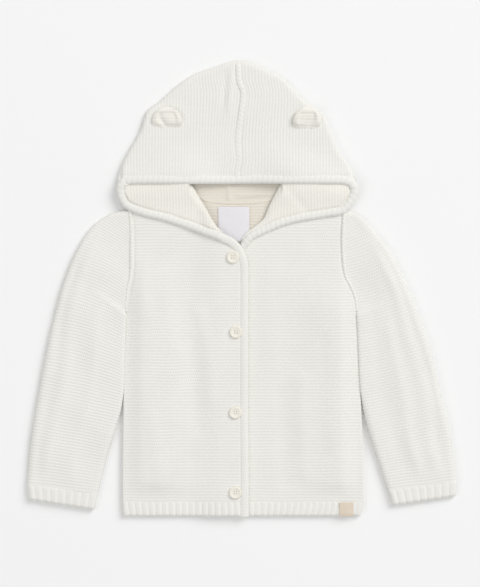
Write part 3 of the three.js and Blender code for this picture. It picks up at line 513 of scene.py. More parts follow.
def build_trim_tree():
    """Sweeps a soft domed trim along a line of points; its cast-off stitches stand up as slanting lumps."""
    tree, given = new_tree("knitted_trim", {
        "Width": "Float", "Height": "Float", "Stitch": "Float", "Lump depth": "Float", "Slant": "Float",
        "Lean": "Float", "Right foot": "Float", "Left foot": "Float", "Sides": "Int", "Yarn": "Material"})
    line = add_node(tree, "GeometryNodeMeshToPoints", {"Mesh": given["Geometry"]})
    line = add_node(tree, "GeometryNodePointsToCurves", {"Points": line.outputs[0]})
    spline = add_node(tree, "GeometryNodeSplineParameter").outputs
    place = add_node(tree, "GeometryNodeInputPosition").outputs[0]
    ahead = add_node(tree, "GeometryNodeInputTangent").outputs[0]
    for name, kind, value in (("along", "FLOAT", spline["Length"]), ("ahead", "FLOAT_VECTOR", ahead),
                              ("centre", "FLOAT_VECTOR", place)):
        line = add_node(tree, "GeometryNodeStoreNamedAttribute", {"Geometry": line.outputs[0], "Name": name,
                                                                  "Value": value}, data_type=kind)
    ring = add_node(tree, "GeometryNodeCurvePrimitiveCircle", {"Resolution": given["Sides"], "Radius": 0.01})
    angle = work_out(tree, {"factor": spline["Factor"]}, [("angle", "MULTIPLY", "factor", 2 * math.pi)])["angle"]
    ring = add_node(tree, "GeometryNodeStoreNamedAttribute", {"Geometry": ring.outputs[0], "Name": "angle",
                                                              "Value": angle}, data_type="FLOAT")
    tube = add_node(tree, "GeometryNodeCurveToMesh", {"Curve": line.outputs[0], "Profile Curve": ring.outputs[0],
                                                      "Fill Caps": True})
    known = {name.lower(): given[name] for name in ("Width", "Height", "Stitch", "Lump depth", "Slant", "Lean",
                                                    "Right foot", "Left foot")}
    stored = {name: add_node(tree, "GeometryNodeInputNamedAttribute", {"Name": name}, data_type=kind).outputs[0]
              for name, kind in (("along", "FLOAT"), ("angle", "FLOAT"), ("tall", "FLOAT"),
                                 ("ahead", "FLOAT_VECTOR"), ("centre", "FLOAT_VECTOR"))}
    known.update({name: stored[name] for name in ("along", "angle", "tall")})
    known = work_out(tree, known, [
        ("cosine", "COSINE", "angle"),
        ("up", "SINE", "angle"),
        ("sign", "SIGN", "cosine"),
        ("across", "ABSOLUTE", "cosine"),
        ("across", "POWER", "across", 0.8),
        ("across", "MULTIPLY", "across", "sign"),
        ("turns", "DIVIDE", "along", "stitch"),
        ("slanted", "MULTIPLY", "across", "slant"),
        ("turns", "ADD", "turns", "slanted"),
        ("lump", "MULTIPLY", "turns", math.pi),
        ("lump", "COSINE", "lump"),
        ("lump", "ABSOLUTE", "lump"),
        ("lump", "POWER", "lump", 0.7),
        ("upper", "GREATER_THAN", "up", 0.0),
        ("lower", "SUBTRACT", 1.0, "upper"),
        ("dent", "SUBTRACT", 1.0, "lump"),
        ("dent", "MULTIPLY", "dent", "lump depth"),
        ("dent", "MULTIPLY", "dent", "upper"),
        ("swell", "SUBTRACT", 1.0, "dent"),
        ("flare", "MULTIPLY", "lower", 0.1),
        ("reach", "ADD", "swell", "flare"),
        ("reach", "MULTIPLY", "reach", "across"),
        ("reach", "MULTIPLY", "reach", "width"),
        ("reach", "MULTIPLY", "reach", 0.5),
        ("share", "ADD", "across", 1.0),
        ("share", "MULTIPLY", "share", 0.5),
        ("rim", "SUBTRACT", "left foot", "right foot"),
        ("rim", "MULTIPLY", "rim", "share"),
        ("rim", "ADD", "rim", "right foot"),
        ("leaning", "MULTIPLY", "across", "lean"),
        ("leaning", "ADD", "leaning", 1.0),
        ("crown", "SUBTRACT", 1.0, "rim"),
        ("crown", "MULTIPLY", "crown", "swell"),
        ("crown", "MULTIPLY", "crown", "leaning"),
        ("crown", "MULTIPLY", "crown", "upper"),
        ("belly", "MULTIPLY", "rim", "lower"),
        ("dome", "ADD", "crown", "belly"),
        ("dome", "MULTIPLY", "dome", "up"),
        ("dome", "ADD", "dome", "rim"),
        ("high", "MULTIPLY", "height", "tall"),
        ("high", "ADD", "high", TRIM_SINK / 1000),
        ("high", "MULTIPLY", "high", "dome"),
        ("high", "SUBTRACT", "high", TRIM_SINK / 1000),
        ("knit across", "MULTIPLY", "across", "width"),
        ("knit across", "MULTIPLY", "knit across", 500.0)])
    side = add_node(tree, "ShaderNodeVectorMath", {0: stored["ahead"], 1: (0, 0, 1)}, operation="CROSS_PRODUCT")
    side = add_node(tree, "ShaderNodeVectorMath", {0: side.outputs[0]}, operation="NORMALIZE")
    side = add_node(tree, "ShaderNodeVectorMath", {0: side.outputs[0], "Scale": known["reach"]}, operation="SCALE")
    rise = add_node(tree, "ShaderNodeCombineXYZ", {"Z": known["high"]})
    place = add_node(tree, "ShaderNodeVectorMath", {0: side.outputs[0], 1: rise.outputs[0]}, operation="ADD")
    place = add_node(tree, "ShaderNodeVectorMath", {0: place.outputs[0], 1: stored["centre"]}, operation="ADD")
    shape = add_node(tree, "GeometryNodeSetPosition", {"Geometry": tube.outputs[0], "Position": place.outputs[0]})
    knit = add_node(tree, "ShaderNodeCombineXYZ", {"X": known["knit across"], "Y": known["turns"]})
    finish_tree(tree, shape, knit.outputs[0], given["Yarn"])
    return tree


def build_stitch_tree():
    """Sets one small arch of thread on each point, between two holes of a button."""
    tree, given = new_tree("thread_stitches", {"Length": "Float", "Rise": "Float", "Thread": "Float",
                                               "Yarn": "Material"})
    known = work_out(tree, {"length": given["Length"], "thread": given["Thread"], "rise": given["Rise"]}, [
        ("ahead", "MULTIPLY", "length", 0.5),
        ("behind", "MULTIPLY", "length", -0.5),
        ("down", "MULTIPLY", "rise", -1.0),
        ("radius", "MULTIPLY", "thread", 0.5)])
    ends = [add_node(tree, "ShaderNodeCombineXYZ", {"Y": known[y], "Z": known[z]}).outputs[0]
            for y, z in (("behind", "down"), ("ahead", "down"))]
    middle = add_node(tree, "ShaderNodeCombineXYZ", {"Z": known["rise"]}).outputs[0]
    arch = add_node(tree, "GeometryNodeCurveQuadraticBezier", {"Resolution": 12, "Start": ends[0],
                                                               "Middle": middle, "End": ends[1]})
    ring = add_node(tree, "GeometryNodeCurvePrimitiveCircle", {"Resolution": 8, "Radius": known["radius"]})
    stitch = add_node(tree, "GeometryNodeCurveToMesh", {"Curve": arch.outputs[0], "Profile Curve": ring.outputs[0],
                                                        "Fill Caps": True})
    shape = add_node(tree, "GeometryNodeInstanceOnPoints", {"Points": given["Geometry"],
                                                            "Instance": stitch.outputs[0]})
    place = add_node(tree, "GeometryNodeInputPosition").outputs[0]
    knit = add_node(tree, "ShaderNodeVectorMath", {0: place, "Scale": 1000.0}, operation="SCALE")
    finish_tree(tree, shape, knit.outputs[0], given["Yarn"])
    return tree


def finish_tree(tree, shape, knit, yarn):
    """Makes a tree's instances real, and stores the knit coordinates and the yarn on them."""
    shape = add_node(tree, "GeometryNodeRealizeInstances", {"Geometry": shape.outputs[0]})
    shape = add_node(tree, "GeometryNodeStoreNamedAttribute", {"Geometry": shape.outputs[0], "Name": "knit",
                                                               "Value": knit}, data_type="FLOAT2", domain="CORNER")
    shape = add_node(tree, "GeometryNodeSetMaterial", {"Geometry": shape.outputs[0], "Material": yarn})
    add_node(tree, "NodeGroupOutput", {0: shape.outputs[0]})


def yarn_material(name, colour, shade, stitch, ribbed):
    """Soft cotton yarn: looped stitches and fine fibres as relief, painted shade in the valleys between rows, and
    tone that varies at random.
    """
    material, tree, shader = new_material(name)
    knit = add_node(tree, "ShaderNodeUVMap", uv_map="knit").outputs["UV"]
    split = add_node(tree, "ShaderNodeSeparateXYZ", {0: knit}).outputs
    wobble = add_node(tree, "ShaderNodeTexNoise", {"Vector": knit, "Scale": 0.35, "Detail": 2.0})
    place = add_node(tree, "ShaderNodeTexCoord").outputs["Object"]
    fibres = add_node(tree, "ShaderNodeTexNoise", {"Vector": place, "Scale": 1500.0, "Detail": 3.0,
                                                 "Roughness": 0.6})
    cloud = add_node(tree, "ShaderNodeTexNoise", {"Vector": place, "Scale": 34.0, "Detail": 3.0})
    known = {"along": split[0], "across": split[1], "wobble": wobble.outputs["Fac"],
             "fibres": fibres.outputs["Fac"], "cloud": cloud.outputs["Fac"]}
    known = work_out(tree, known, [
        ("row", "FLOOR", "across"),
        ("half step", "MULTIPLY", "row", 0.0 if ribbed else math.pi),
        ("shift", "MULTIPLY", "wobble", 1.1),
        ("turn", "MULTIPLY", "along", 2 * math.pi / stitch),
        ("turn", "ADD", "turn", "half step"),
        ("turn", "ADD", "turn", "shift"),
        ("loops", "SINE", "turn"),
        ("arch", "MULTIPLY", "across", math.pi),
        ("arch", "SINE", "arch"),
        ("arch", "ABSOLUTE", "arch"),
        ("stitches", "MULTIPLY", "loops", "arch"),
        ("stitches", "MULTIPLY", "stitches", 0.32),
        ("fuzz", "MULTIPLY", "fibres", 0.7),
        ("relief", "ADD", "stitches", "fuzz"),
        # painted shade: the colour darkens in the valleys between rows, where shade falls
        ("painted_valley_shade", "SUBTRACT", 1.0, "arch"),
        ("painted_valley_shade", "MULTIPLY", "painted_valley_shade", 0.35),
        ("uneven", "MULTIPLY", "cloud", 0.35),
        ("depth", "ADD", "painted_valley_shade", "uneven")])
    bump = add_node(tree, "ShaderNodeBump", {"Height": known["relief"], "Strength": 0.45, "Distance": 0.0005})
    tree.links.new(bump.outputs[0], shader.inputs["Normal"])
    # the colour leans to the shade colour by the painted valley shade plus random clouds of tone
    tone = add_node(tree, "ShaderNodeMix", {"Factor": known["depth"]}, data_type="RGBA")
    # the colour sockets of a mix node are the third pair
    tone.inputs[6].default_value = linear(colour)
    tone.inputs[7].default_value = linear(shade)
    tree.links.new(tone.outputs[2], shader.inputs["Base Color"])
    shader.inputs["Roughness"].default_value = 0.92
    shader.inputs["Specular IOR Level"].default_value = 0.2
    shader.inputs["Sheen Weight"].default_value = 0.2
    shader.inputs["Sheen Roughness"].default_value = 0.5
    return material


def button_material():
    """Pale ivory plastic: soft gloss, and faint clouds in the colour that the eye reads as depth."""
    material, tree, shader = new_material("ivory_button")
    place = add_node(tree, "ShaderNodeTexCoord").outputs["Object"]
    cloud = add_node(tree, "ShaderNodeTexNoise", {"Vector": place, "Scale": 220.0, "Detail": 4.0})
    tone = add_node(tree, "ShaderNodeMix", {"Factor": cloud.outputs["Fac"]}, data_type="RGBA")
    tone.inputs[6].default_value = linear("#F0ECE2")
    tone.inputs[7].default_value = linear("#E8E3D6")
    tree.links.new(tone.outputs[2], shader.inputs["Base Color"])
    shader.inputs["Roughness"].default_value = 0.45
    return material


def woven_material(name, colour, shade, pitch):
    """Woven tape: fine crossing threads with a faint satin lustre."""
    material, tree, shader = new_material(name)
    knit = add_node(tree, "ShaderNodeUVMap", uv_map="knit").outputs["UV"]
    split = add_node(tree, "ShaderNodeSeparateXYZ", {0: knit}).outputs
    known = work_out(tree, {"across": split[0], "along": split[1]}, [
        ("warp", "MULTIPLY", "across", 2 * math.pi / pitch),
        ("warp", "SINE", "warp"),
        ("weft", "MULTIPLY", "along", 2 * math.pi / pitch),
        ("weft", "SINE", "weft"),
        ("weave", "MULTIPLY", "warp", "weft"),
        ("half", "MULTIPLY_ADD", "weave", 0.5, 0.5)])
    bump = add_node(tree, "ShaderNodeBump", {"Height": known["weave"], "Strength": 0.35, "Distance": 0.0002})
    tree.links.new(bump.outputs[0], shader.inputs["Normal"])
    tone = add_node(tree, "ShaderNodeMix", {"Factor": known["half"]}, data_type="RGBA")
    tone.inputs[6].default_value = linear(shade)
    tone.inputs[7].default_value = linear(colour)
    tree.links.new(tone.outputs[2], shader.inputs["Base Color"])
    shader.inputs["Roughness"].default_value = 0.55
    shader.inputs["Sheen Weight"].default_value = 0.15
    return material


garter_knit = yarn_material("ivory_garter_knit", "#EEEDE8", "#E0DED7", STITCH, False)
wing_knit = yarn_material("ivory_knit_folded_out_face", "#F1EFE8", "#E4DFD5", STITCH, False)
# painted shade: a darker beige copy of the ivory yarn for the back panel and the hood's back inside the neck
inside_knit_painted_shade = yarn_material("ivory_knit_inside_neck_painted_shade", "#E9E3D8", "#D9D1C2", STITCH, False)
rib_knit = yarn_material("ivory_rib_knit", "#EFEEE9", "#E0DED7", STITCH, True)
button_plastic = button_material()
label_tape = woven_material("white_label_tape", "#F1EFF2", "#E4E2E6", 0.5)
tag_tape = woven_material("sand_cotton_tape", "#E9DBC9", "#DCCCB7", 0.6)
thread = yarn_material("ivory_sewing_thread", "#F2EFE8", "#DDD8CC", 0.6, True)
relief_tree = build_relief_tree()
trim_tree = build_trim_tree()
stitch_tree = build_stitch_tree()


# Body

def panel(sides, bottom, top, floor, thick, dense_from=None, step=2.2):
    """A knitted panel with level garter ridges, its edges rounded, cut off at its upper edge."""
    y_top = float(np.max(top(np.linspace(-140, 141, 300))))
    if dense_from is None:
        rows = np.arange(bottom, y_top + RIDGE_STEP, RIDGE_STEP)
    else:
        rows = np.concatenate([np.arange(bottom, dense_from, 5.0),
                               np.arange(dense_from, y_top + RIDGE_STEP, RIDGE_STEP)])
    width = float(np.max(sides[1](rows) - sides[0](rows)))
    edge = np.array([0, 0.5, 1.2, 2.0, 3.0, 4.2]) / width
    shares = np.concatenate([edge, np.linspace(5.5 / width, 1 - 5.5 / width, int(width / step)), 1 - edge[::-1]])
    y = np.broadcast_to(rows[:, None], (len(rows), len(shares)))
    x = mix(sides[0](y), sides[1](y), shares[None, :])
    limit = top(x)
    outside = y > limit
    y = np.minimum(y, limit)
    x = mix(sides[0](y), sides[1](y), shares[None, :])
    inset = np.minimum.reduce([x - sides[0](y), sides[1](y) - x, limit - y + 0.01])
    ridges = (y - HEM_Y) / RIDGE + 0.10 * drift(x, y, 55, 3)
    deep = RIDGE_DEEP * (1 + 0.15 * drift(x, y, 25, 5)) * ease(0, 2.0, inset)
    z = floor(x, y) + thick(x, y) * (0.7 + 0.3 * rounded(inset, 2.2))
    keep = ~(outside[:-1, :-1] & outside[:-1, 1:] & outside[1:, :-1] & outside[1:, 1:])
    fabric = Fabric()
    fabric.grid(with_z(x, y, z), pair(x, ridges), keep=keep, relief=(ridges, deep, UP))
    fabric.close_below(floor)
    u, v = np.linspace(0, 1, 40)[None, :], np.linspace(0, 1, 60)[:, None]
    level_y = mix(bottom, SHOULDER_TIP_Y, v)
    level_x = mix(sides[0](level_y), sides[1](level_y), u)
    covered = plan_area(with_z(level_x, np.minimum(level_y, top(level_x)), 0.0))
    across = np.linspace(float(sides[0](SHOULDER_TIP_Y)), float(sides[1](SHOULDER_TIP_Y)), 200)
    covered += float(np.trapz(np.maximum(top(across) - SHOULDER_TIP_Y, 0), across)) / 1e6
    return fabric, covered


def straight(x):
    """A panel's upright edge."""
    return lambda y: x + 0.0 * y


def grooved(side, inset):
    """Thickness of a front, with a soft groove beside its armhole."""
    def thick(x, y):
        groove = np.exp(-((np.abs(x - side(y)) - inset) / 1.1) ** 2) * ease(-25, 5, y)
        return KNIT - 0.9 * groove
    return thick


def build_body():
    right, left = side_at["right"], side_at["left"]

    def wider(edge, out):
        return lambda y: edge(y) + out * ease(-125, -100, y) * ease(-22, -40, y)

    fabric, area = panel([wider(right, -0.9), wider(left, 0.9)], PANEL_BOTTOM, back_top, lambda x, y: 0.0 * x,
                         lambda x, y: KNIT + 0.0 * x, dense_from=40, step=3.0)
    # the back panel takes the darker yarn copy, painted shade
    back = fabric.make("back_panel_knit", inside_knit_painted_shade, "back_panel")

    fabric, area = panel([right, straight(FRONT_EDGE_X)], PANEL_BOTTOM, right_front_top, right_front_floor,
                         grooved(right, 2.6))
    front = fabric.make("front_right_knit", garter_knit, "front_right_panel")

    fabric, area = panel([straight(UNDER_FRONT_X), left], PANEL_BOTTOM, left_front_top, left_front_floor,
                         grooved(left, 1.8))
    front = fabric.make("front_left_knit", garter_knit, "front_left_panel")


def rib_profile(turns):
    """Height of rounded ribs with narrow gaps between them, one rib to a turn."""
    return np.abs(np.sin(math.pi * turns)) ** RIB_ROW["Rounding"]


def hem_piece(name, node, sides, floor, ribs, ribs_from=-1e9, fade=1.0):
    rows = np.array([0, 0.4, 1.0, 1.8, 3, 5, 7.5, 10, 12.5, 14.5, 15.6, 16.0])
    shares = np.linspace(0, 1, ribs * 12 + 1)
    y = HEM_Y + np.broadcast_to(rows[:, None], (len(rows), len(shares)))
    lean = 0.10 * np.sin(7.0 * shares + 1.0)[None, :] * (y - HEM_Y) / HEM_RIB
    x = mix(sides[0](y), sides[1](y), shares[None, :])
    turns = shares[None, :] * ribs + lean
    deep = np.where(x > ribs_from, RIB_DEEP, 0.0) * fade * ease(0, 2.0, y - HEM_Y + 0.6)
    inset = np.minimum(np.minimum(x - sides[0](y), sides[1](y) - x) + 0.01, y - HEM_Y)
    scallop = 0.7 * (1 - rib_profile(turns)) * ease(4, 0, y - HEM_Y)
    z = floor(x, y) + KNIT * (0.35 + 0.65 * rounded(inset, 3.0)) + 0.35 * np.sin(math.pi * (y - HEM_Y) / HEM_RIB)
    fabric = Fabric()
    fabric.slab(with_z(x, y + scallop, z), with_z(x, y + scallop, floor(x, y)), pair((y - HEM_Y), turns * 2),
                relief=(turns, deep, UP))
    piece = fabric.make(name, rib_knit, node, "rib", RIB_ROW)
    width = float(np.max(x[:, -1] - x[:, 0])) / 1000
    area = min(plan_area(with_z(x, y, z)), 0.999 * width * HEM_RIB / 1000)


def build_hem():
    right, left = side_at["right"], side_at["left"]
    hem_piece("hem_rib_back_knit", "hem_rib_back", [right, left], lambda x, y: 0.0 * x, 38, fade=0.25)
    hem_piece("hem_rib_right_knit", "hem_rib_front_right", [right, straight(FRONT_EDGE_X)],
              lambda x, y: LAYER + overlap_rise(x, y), HEM_RIBS)
    hem_piece("hem_rib_left_knit", "hem_rib_front_left", [straight(UNDER_FRONT_X), left],
              lambda x, y: LAYER + 0.0 * x, HEM_RIBS + 3, ribs_from=4)


# Sleeves

def sleeve_edges(name):
    """The sleeve's two long edges from the shoulder's tip to the cuff, as even steps along each."""
    table = np.array(SLEEVES[name], float)
    away = math.copysign(1, table[0, 0])
    seam_y = np.linspace(table[0, 3], table[0, 1], 40)
    seam = np.stack([side_at[name](seam_y) + away * 0.8, seam_y], axis=1)
    steps, fine = np.linspace(0, 1, len(table)), np.linspace(0, 1, 400)
    curves = [curve(steps, table[:, k])(fine) for k in range(5)]
    inner = np.concatenate([seam[:-1], np.stack(curves[0:2], axis=1)])
    outer = np.stack(curves[2:4], axis=1)
    inner_run = np.concatenate([[0], np.cumsum(np.hypot(*np.diff(inner, axis=0).T))])
    outer_run = np.concatenate([[0], np.cumsum(np.hypot(*np.diff(outer, axis=0).T))])
    underarm = inner_run[len(seam) - 1] / inner_run[-1]
    return inner, inner_run, outer, outer_run, underarm


sleeve_lines = {name: sleeve_edges(name) for name in SLEEVES}


def sleeve_surface(name, share, across, upper, inset=0.0):
    """Points of a flattened sleeve: share of its length, share across and which side faces up."""
    inner, inner_run, outer, outer_run, underarm = sleeve_lines[name]
    away = math.copysign(1, inner[0, 0])
    ix, iy = [np.interp(share * inner_run[-1], inner_run, inner[:, k]) for k in (0, 1)]
    beside = ease(underarm + 0.36, underarm + 0.24, share) * ease(underarm - 0.02, underarm + 0.01, share)
    ix = mix(ix, side_at[name](iy) - away * 0.6, beside)
    ox, oy = [np.interp(share * outer_run[-1], outer_run, outer[:, k]) for k in (0, 1)]
    width = np.maximum(np.hypot(ox - ix, oy - iy), 0.01)
    t = mix(np.minimum(inset / width, 0.4), 1 - np.minimum(inset / width, 0.4), across)
    bow = (4.5 if away < 0 else -3.0) * ease(0.05, 0.3, share) * ease(0.8, 0.4, share)
    x = mix(ix, ox, t) + 0.0 * across
    y = mix(iy, oy, t) + bow * 4 * t * (1 - t)
    past_armhole = 200 * ease(underarm - 0.03, underarm + 0.12, share)
    high = mix(6.4, 9.0, ease(0.0, 0.3, share) * ease(0, 45, width * t + past_armhole))
    high = high - 1.2 * ease(0.7, 1.0, share)
    sewn = ease(underarm + 0.02, underarm - 0.02, share)
    clear = ease(underarm + 0.26, underarm + 0.38, share)
    beside_body = mix(0.62 + 0.38 * rounded(width * across, 4.5), rounded(width * across, 7.0), clear)
    inner_edge = mix(beside_body, 0.80 + 0.20 * rounded(width * across, 2.5), sewn)
    edge = np.minimum(inner_edge, rounded(width * (1 - across), 7.0))
    depth = ease(0.1, 0.3, share) * ease(1, 0.9, share)
    across_drift = across + 0.035 * drift(x, y, 90, 61)
    fold = 1.1 * np.exp(-((across_drift - 0.74) / 0.08) ** 2) - 0.5 * np.exp(-((across_drift - 0.86) / 0.05) ** 2)
    fold = fold * depth
    if away > 0:
        ridge = 1.0 * np.exp(-((across_drift - 0.56 + 0.08 * share) / 0.07) ** 2)
        fold = fold + ridge * ease(0.35, 0.5, share) * depth
        fold = fold - 0.8 * np.exp(-((across_drift - 0.30) / 0.10) ** 2) * ease(0.3, 0.5, share) * depth
    else:
        fold = fold + 0.8 * np.exp(-((across_drift - 0.40) / 0.08) ** 2) * ease(0.3, 0.5, share) * depth
    fold = fold + 0.4 * drift(x, y, 60, 11)
    z = high / 2 + np.where(upper, 1, -1) * (high / 2 - inset) * edge + np.where(upper, fold * edge, 0)
    return x, y, z, width


def tube_piece(surface, rows, over, under, ridges_at, relief, material, name, node, slot, inner_rows,
               shape_of_rows):
    """A flattened tube of knitting with its relief outside and a plain inner face, open at both ends."""
    across = np.concatenate([over, under])
    upper = np.concatenate([np.ones(len(over), bool), np.zeros(len(under), bool)])
    share = np.broadcast_to(rows[:, None], (len(rows), len(across)))
    x, y, z, width = surface(share, across[None, :], upper[None, :], 0.0)
    points = with_z(x, y, z)
    # outward direction from the smooth surface, so that the relief stands square to it
    ahead = np.gradient(points, axis=0)
    beside = np.roll(points, -1, axis=1) - np.roll(points, 1, axis=1)
    outward = np.cross(beside, ahead)
    outward /= np.maximum(np.linalg.norm(outward, axis=-1, keepdims=True), 1e-9)
    middle_up = outward[:, len(over) // 2, 2].mean()
    outward *= math.copysign(1, middle_up)
    row, deep = relief(share, across[None, :], upper[None, :], x, y)
    fabric = Fabric()
    knit = pair(across[None, :] * width, ridges_at(share, across[None, :], x, y))
    flip = middle_up < 0
    outer = fabric.grid(points, knit, loop=True, flip=flip, relief=(row, deep, outward))
    coarse = np.linspace(0, 1, inner_rows)
    few_over, few_under = over[:: max(1, len(over) // 12)], under[:: max(1, len(under) // 6)]
    few = np.concatenate([few_over, few_under])
    few_upper = np.concatenate([np.ones(len(few_over), bool), np.zeros(len(few_under), bool)])
    lining_share = np.broadcast_to(mix(rows[0], rows[-1], coarse)[:, None], (inner_rows, len(few)))
    ix, iy, iz, _ = surface(lining_share, few[None, :], few_upper[None, :], KNIT * 0.8)
    inner = fabric.grid(with_z(ix, iy, iz), pair(few[None, :] * 90, lining_share * 80), loop=True, flip=not flip)
    for end in (0, -1):
        first, second = list(outer[end]) + [outer[end][0]], list(inner[end]) + [inner[end][0]]
        fabric.zip_rows(first, second)
    piece = fabric.make(name, material, node, slot, shape_of_rows)
    return piece, points


def even_across(width, step, edge_points):
    """Shares across a tube's face, closer together where it rounds over at both edges."""
    edge = np.array(edge_points) / width
    middle = np.linspace(edge[-1] * 1.3, 1 - edge[-1] * 1.3, int(width / step))
    return np.concatenate([edge, middle, 1 - edge[::-1]])


def build_sleeve(name):
    inner_run, outer_run = sleeve_lines[name][1], sleeve_lines[name][3]
    line = np.array([0.0, 1.0])
    distance = np.array([0.0, (inner_run[-1] + outer_run[-1]) / 2])
    count = int(distance[-1] / RIDGE)
    rows = np.linspace(0.004, 1, count * 6 + 1)

    def ridges_at(share, across, x, y):
        return np.interp(share, line, distance) / RIDGE + 0.12 * drift(x, y, 50, 17)

    def relief(share, across, upper, x, y):
        ends = ease(0, 0.012, share) * ease(1, 0.992, share)
        return ridges_at(share, across, x, y), np.where(upper, RIDGE_DEEP, 0.0) * ends

    over = even_across(100, 2.3, [0, 0.6, 1.5, 2.8, 4.5])
    under = np.array([0.99, 0.96, 0.9, 0.75, 0.5, 0.25, 0.1, 0.04, 0.01])
    piece, points = tube_piece(lambda s, a, u, i: sleeve_surface(name, s, a, u, i), rows, over, under, ridges_at,
                               relief, garter_knit, f"sleeve_{name}_knit", f"sleeve_{name}", "knit", 24, GARTER_ROW)


def build_cuff(name):
    last, end = SLEEVES[name][-1], CUFF_ENDS[name]

    def surface(share, across, upper, inset):
        inner_x, outer_x = mix(last[0], end[0], share), mix(last[2], end[2], share)
        inner_y, outer_y = mix(last[1], end[1], share), mix(last[3], end[3], share)
        width = np.hypot(outer_x - inner_x, outer_y - inner_y)
        t = mix(inset / width, 1 - inset / width, across)
        edge = rounded(width * np.minimum(across, 1 - across), 5.5)
        high = 7.7 - 2.4 * ease(0.86, 1.0, share) - 1.0 * ease(0.0, -0.06, share)
        z = high / 2 + np.where(upper, 1, -1) * (high / 2 - inset) * edge
        return mix(inner_x, outer_x, t), mix(inner_y, outer_y, t), z, width

    def ridges_at(share, across, x, y):
        return 2 * across * CUFF_RIBS + 0.0 * share

    def relief(share, across, upper, x, y):
        return across * CUFF_RIBS + 0.08 * share, np.where(upper, RIB_DEEP, 0.0) * ease(-0.06, 0.14, share)

    over = np.linspace(0, 1, CUFF_RIBS * 12 + 1)
    under = np.linspace(1, 0, 40)[1:-1]
    rows = np.array([-0.08, 0.0, 0.1, 0.22, 0.4, 0.6, 0.78, 0.88, 0.94, 0.98, 1.0])
    piece, points = tube_piece(surface, rows, over, under, ridges_at, relief, rib_knit, f"cuff_{name}_knit",
                               f"cuff_{name}", "rib", 4, RIB_ROW)


# Hood

def outline_distance(x, y):
    """Distance in from the hood's outline, square to it."""
    slope = (hood_outline(x + 0.5) - hood_outline(x - 0.5))
    return (hood_outline(x) - y) / np.hypot(slope, 1)


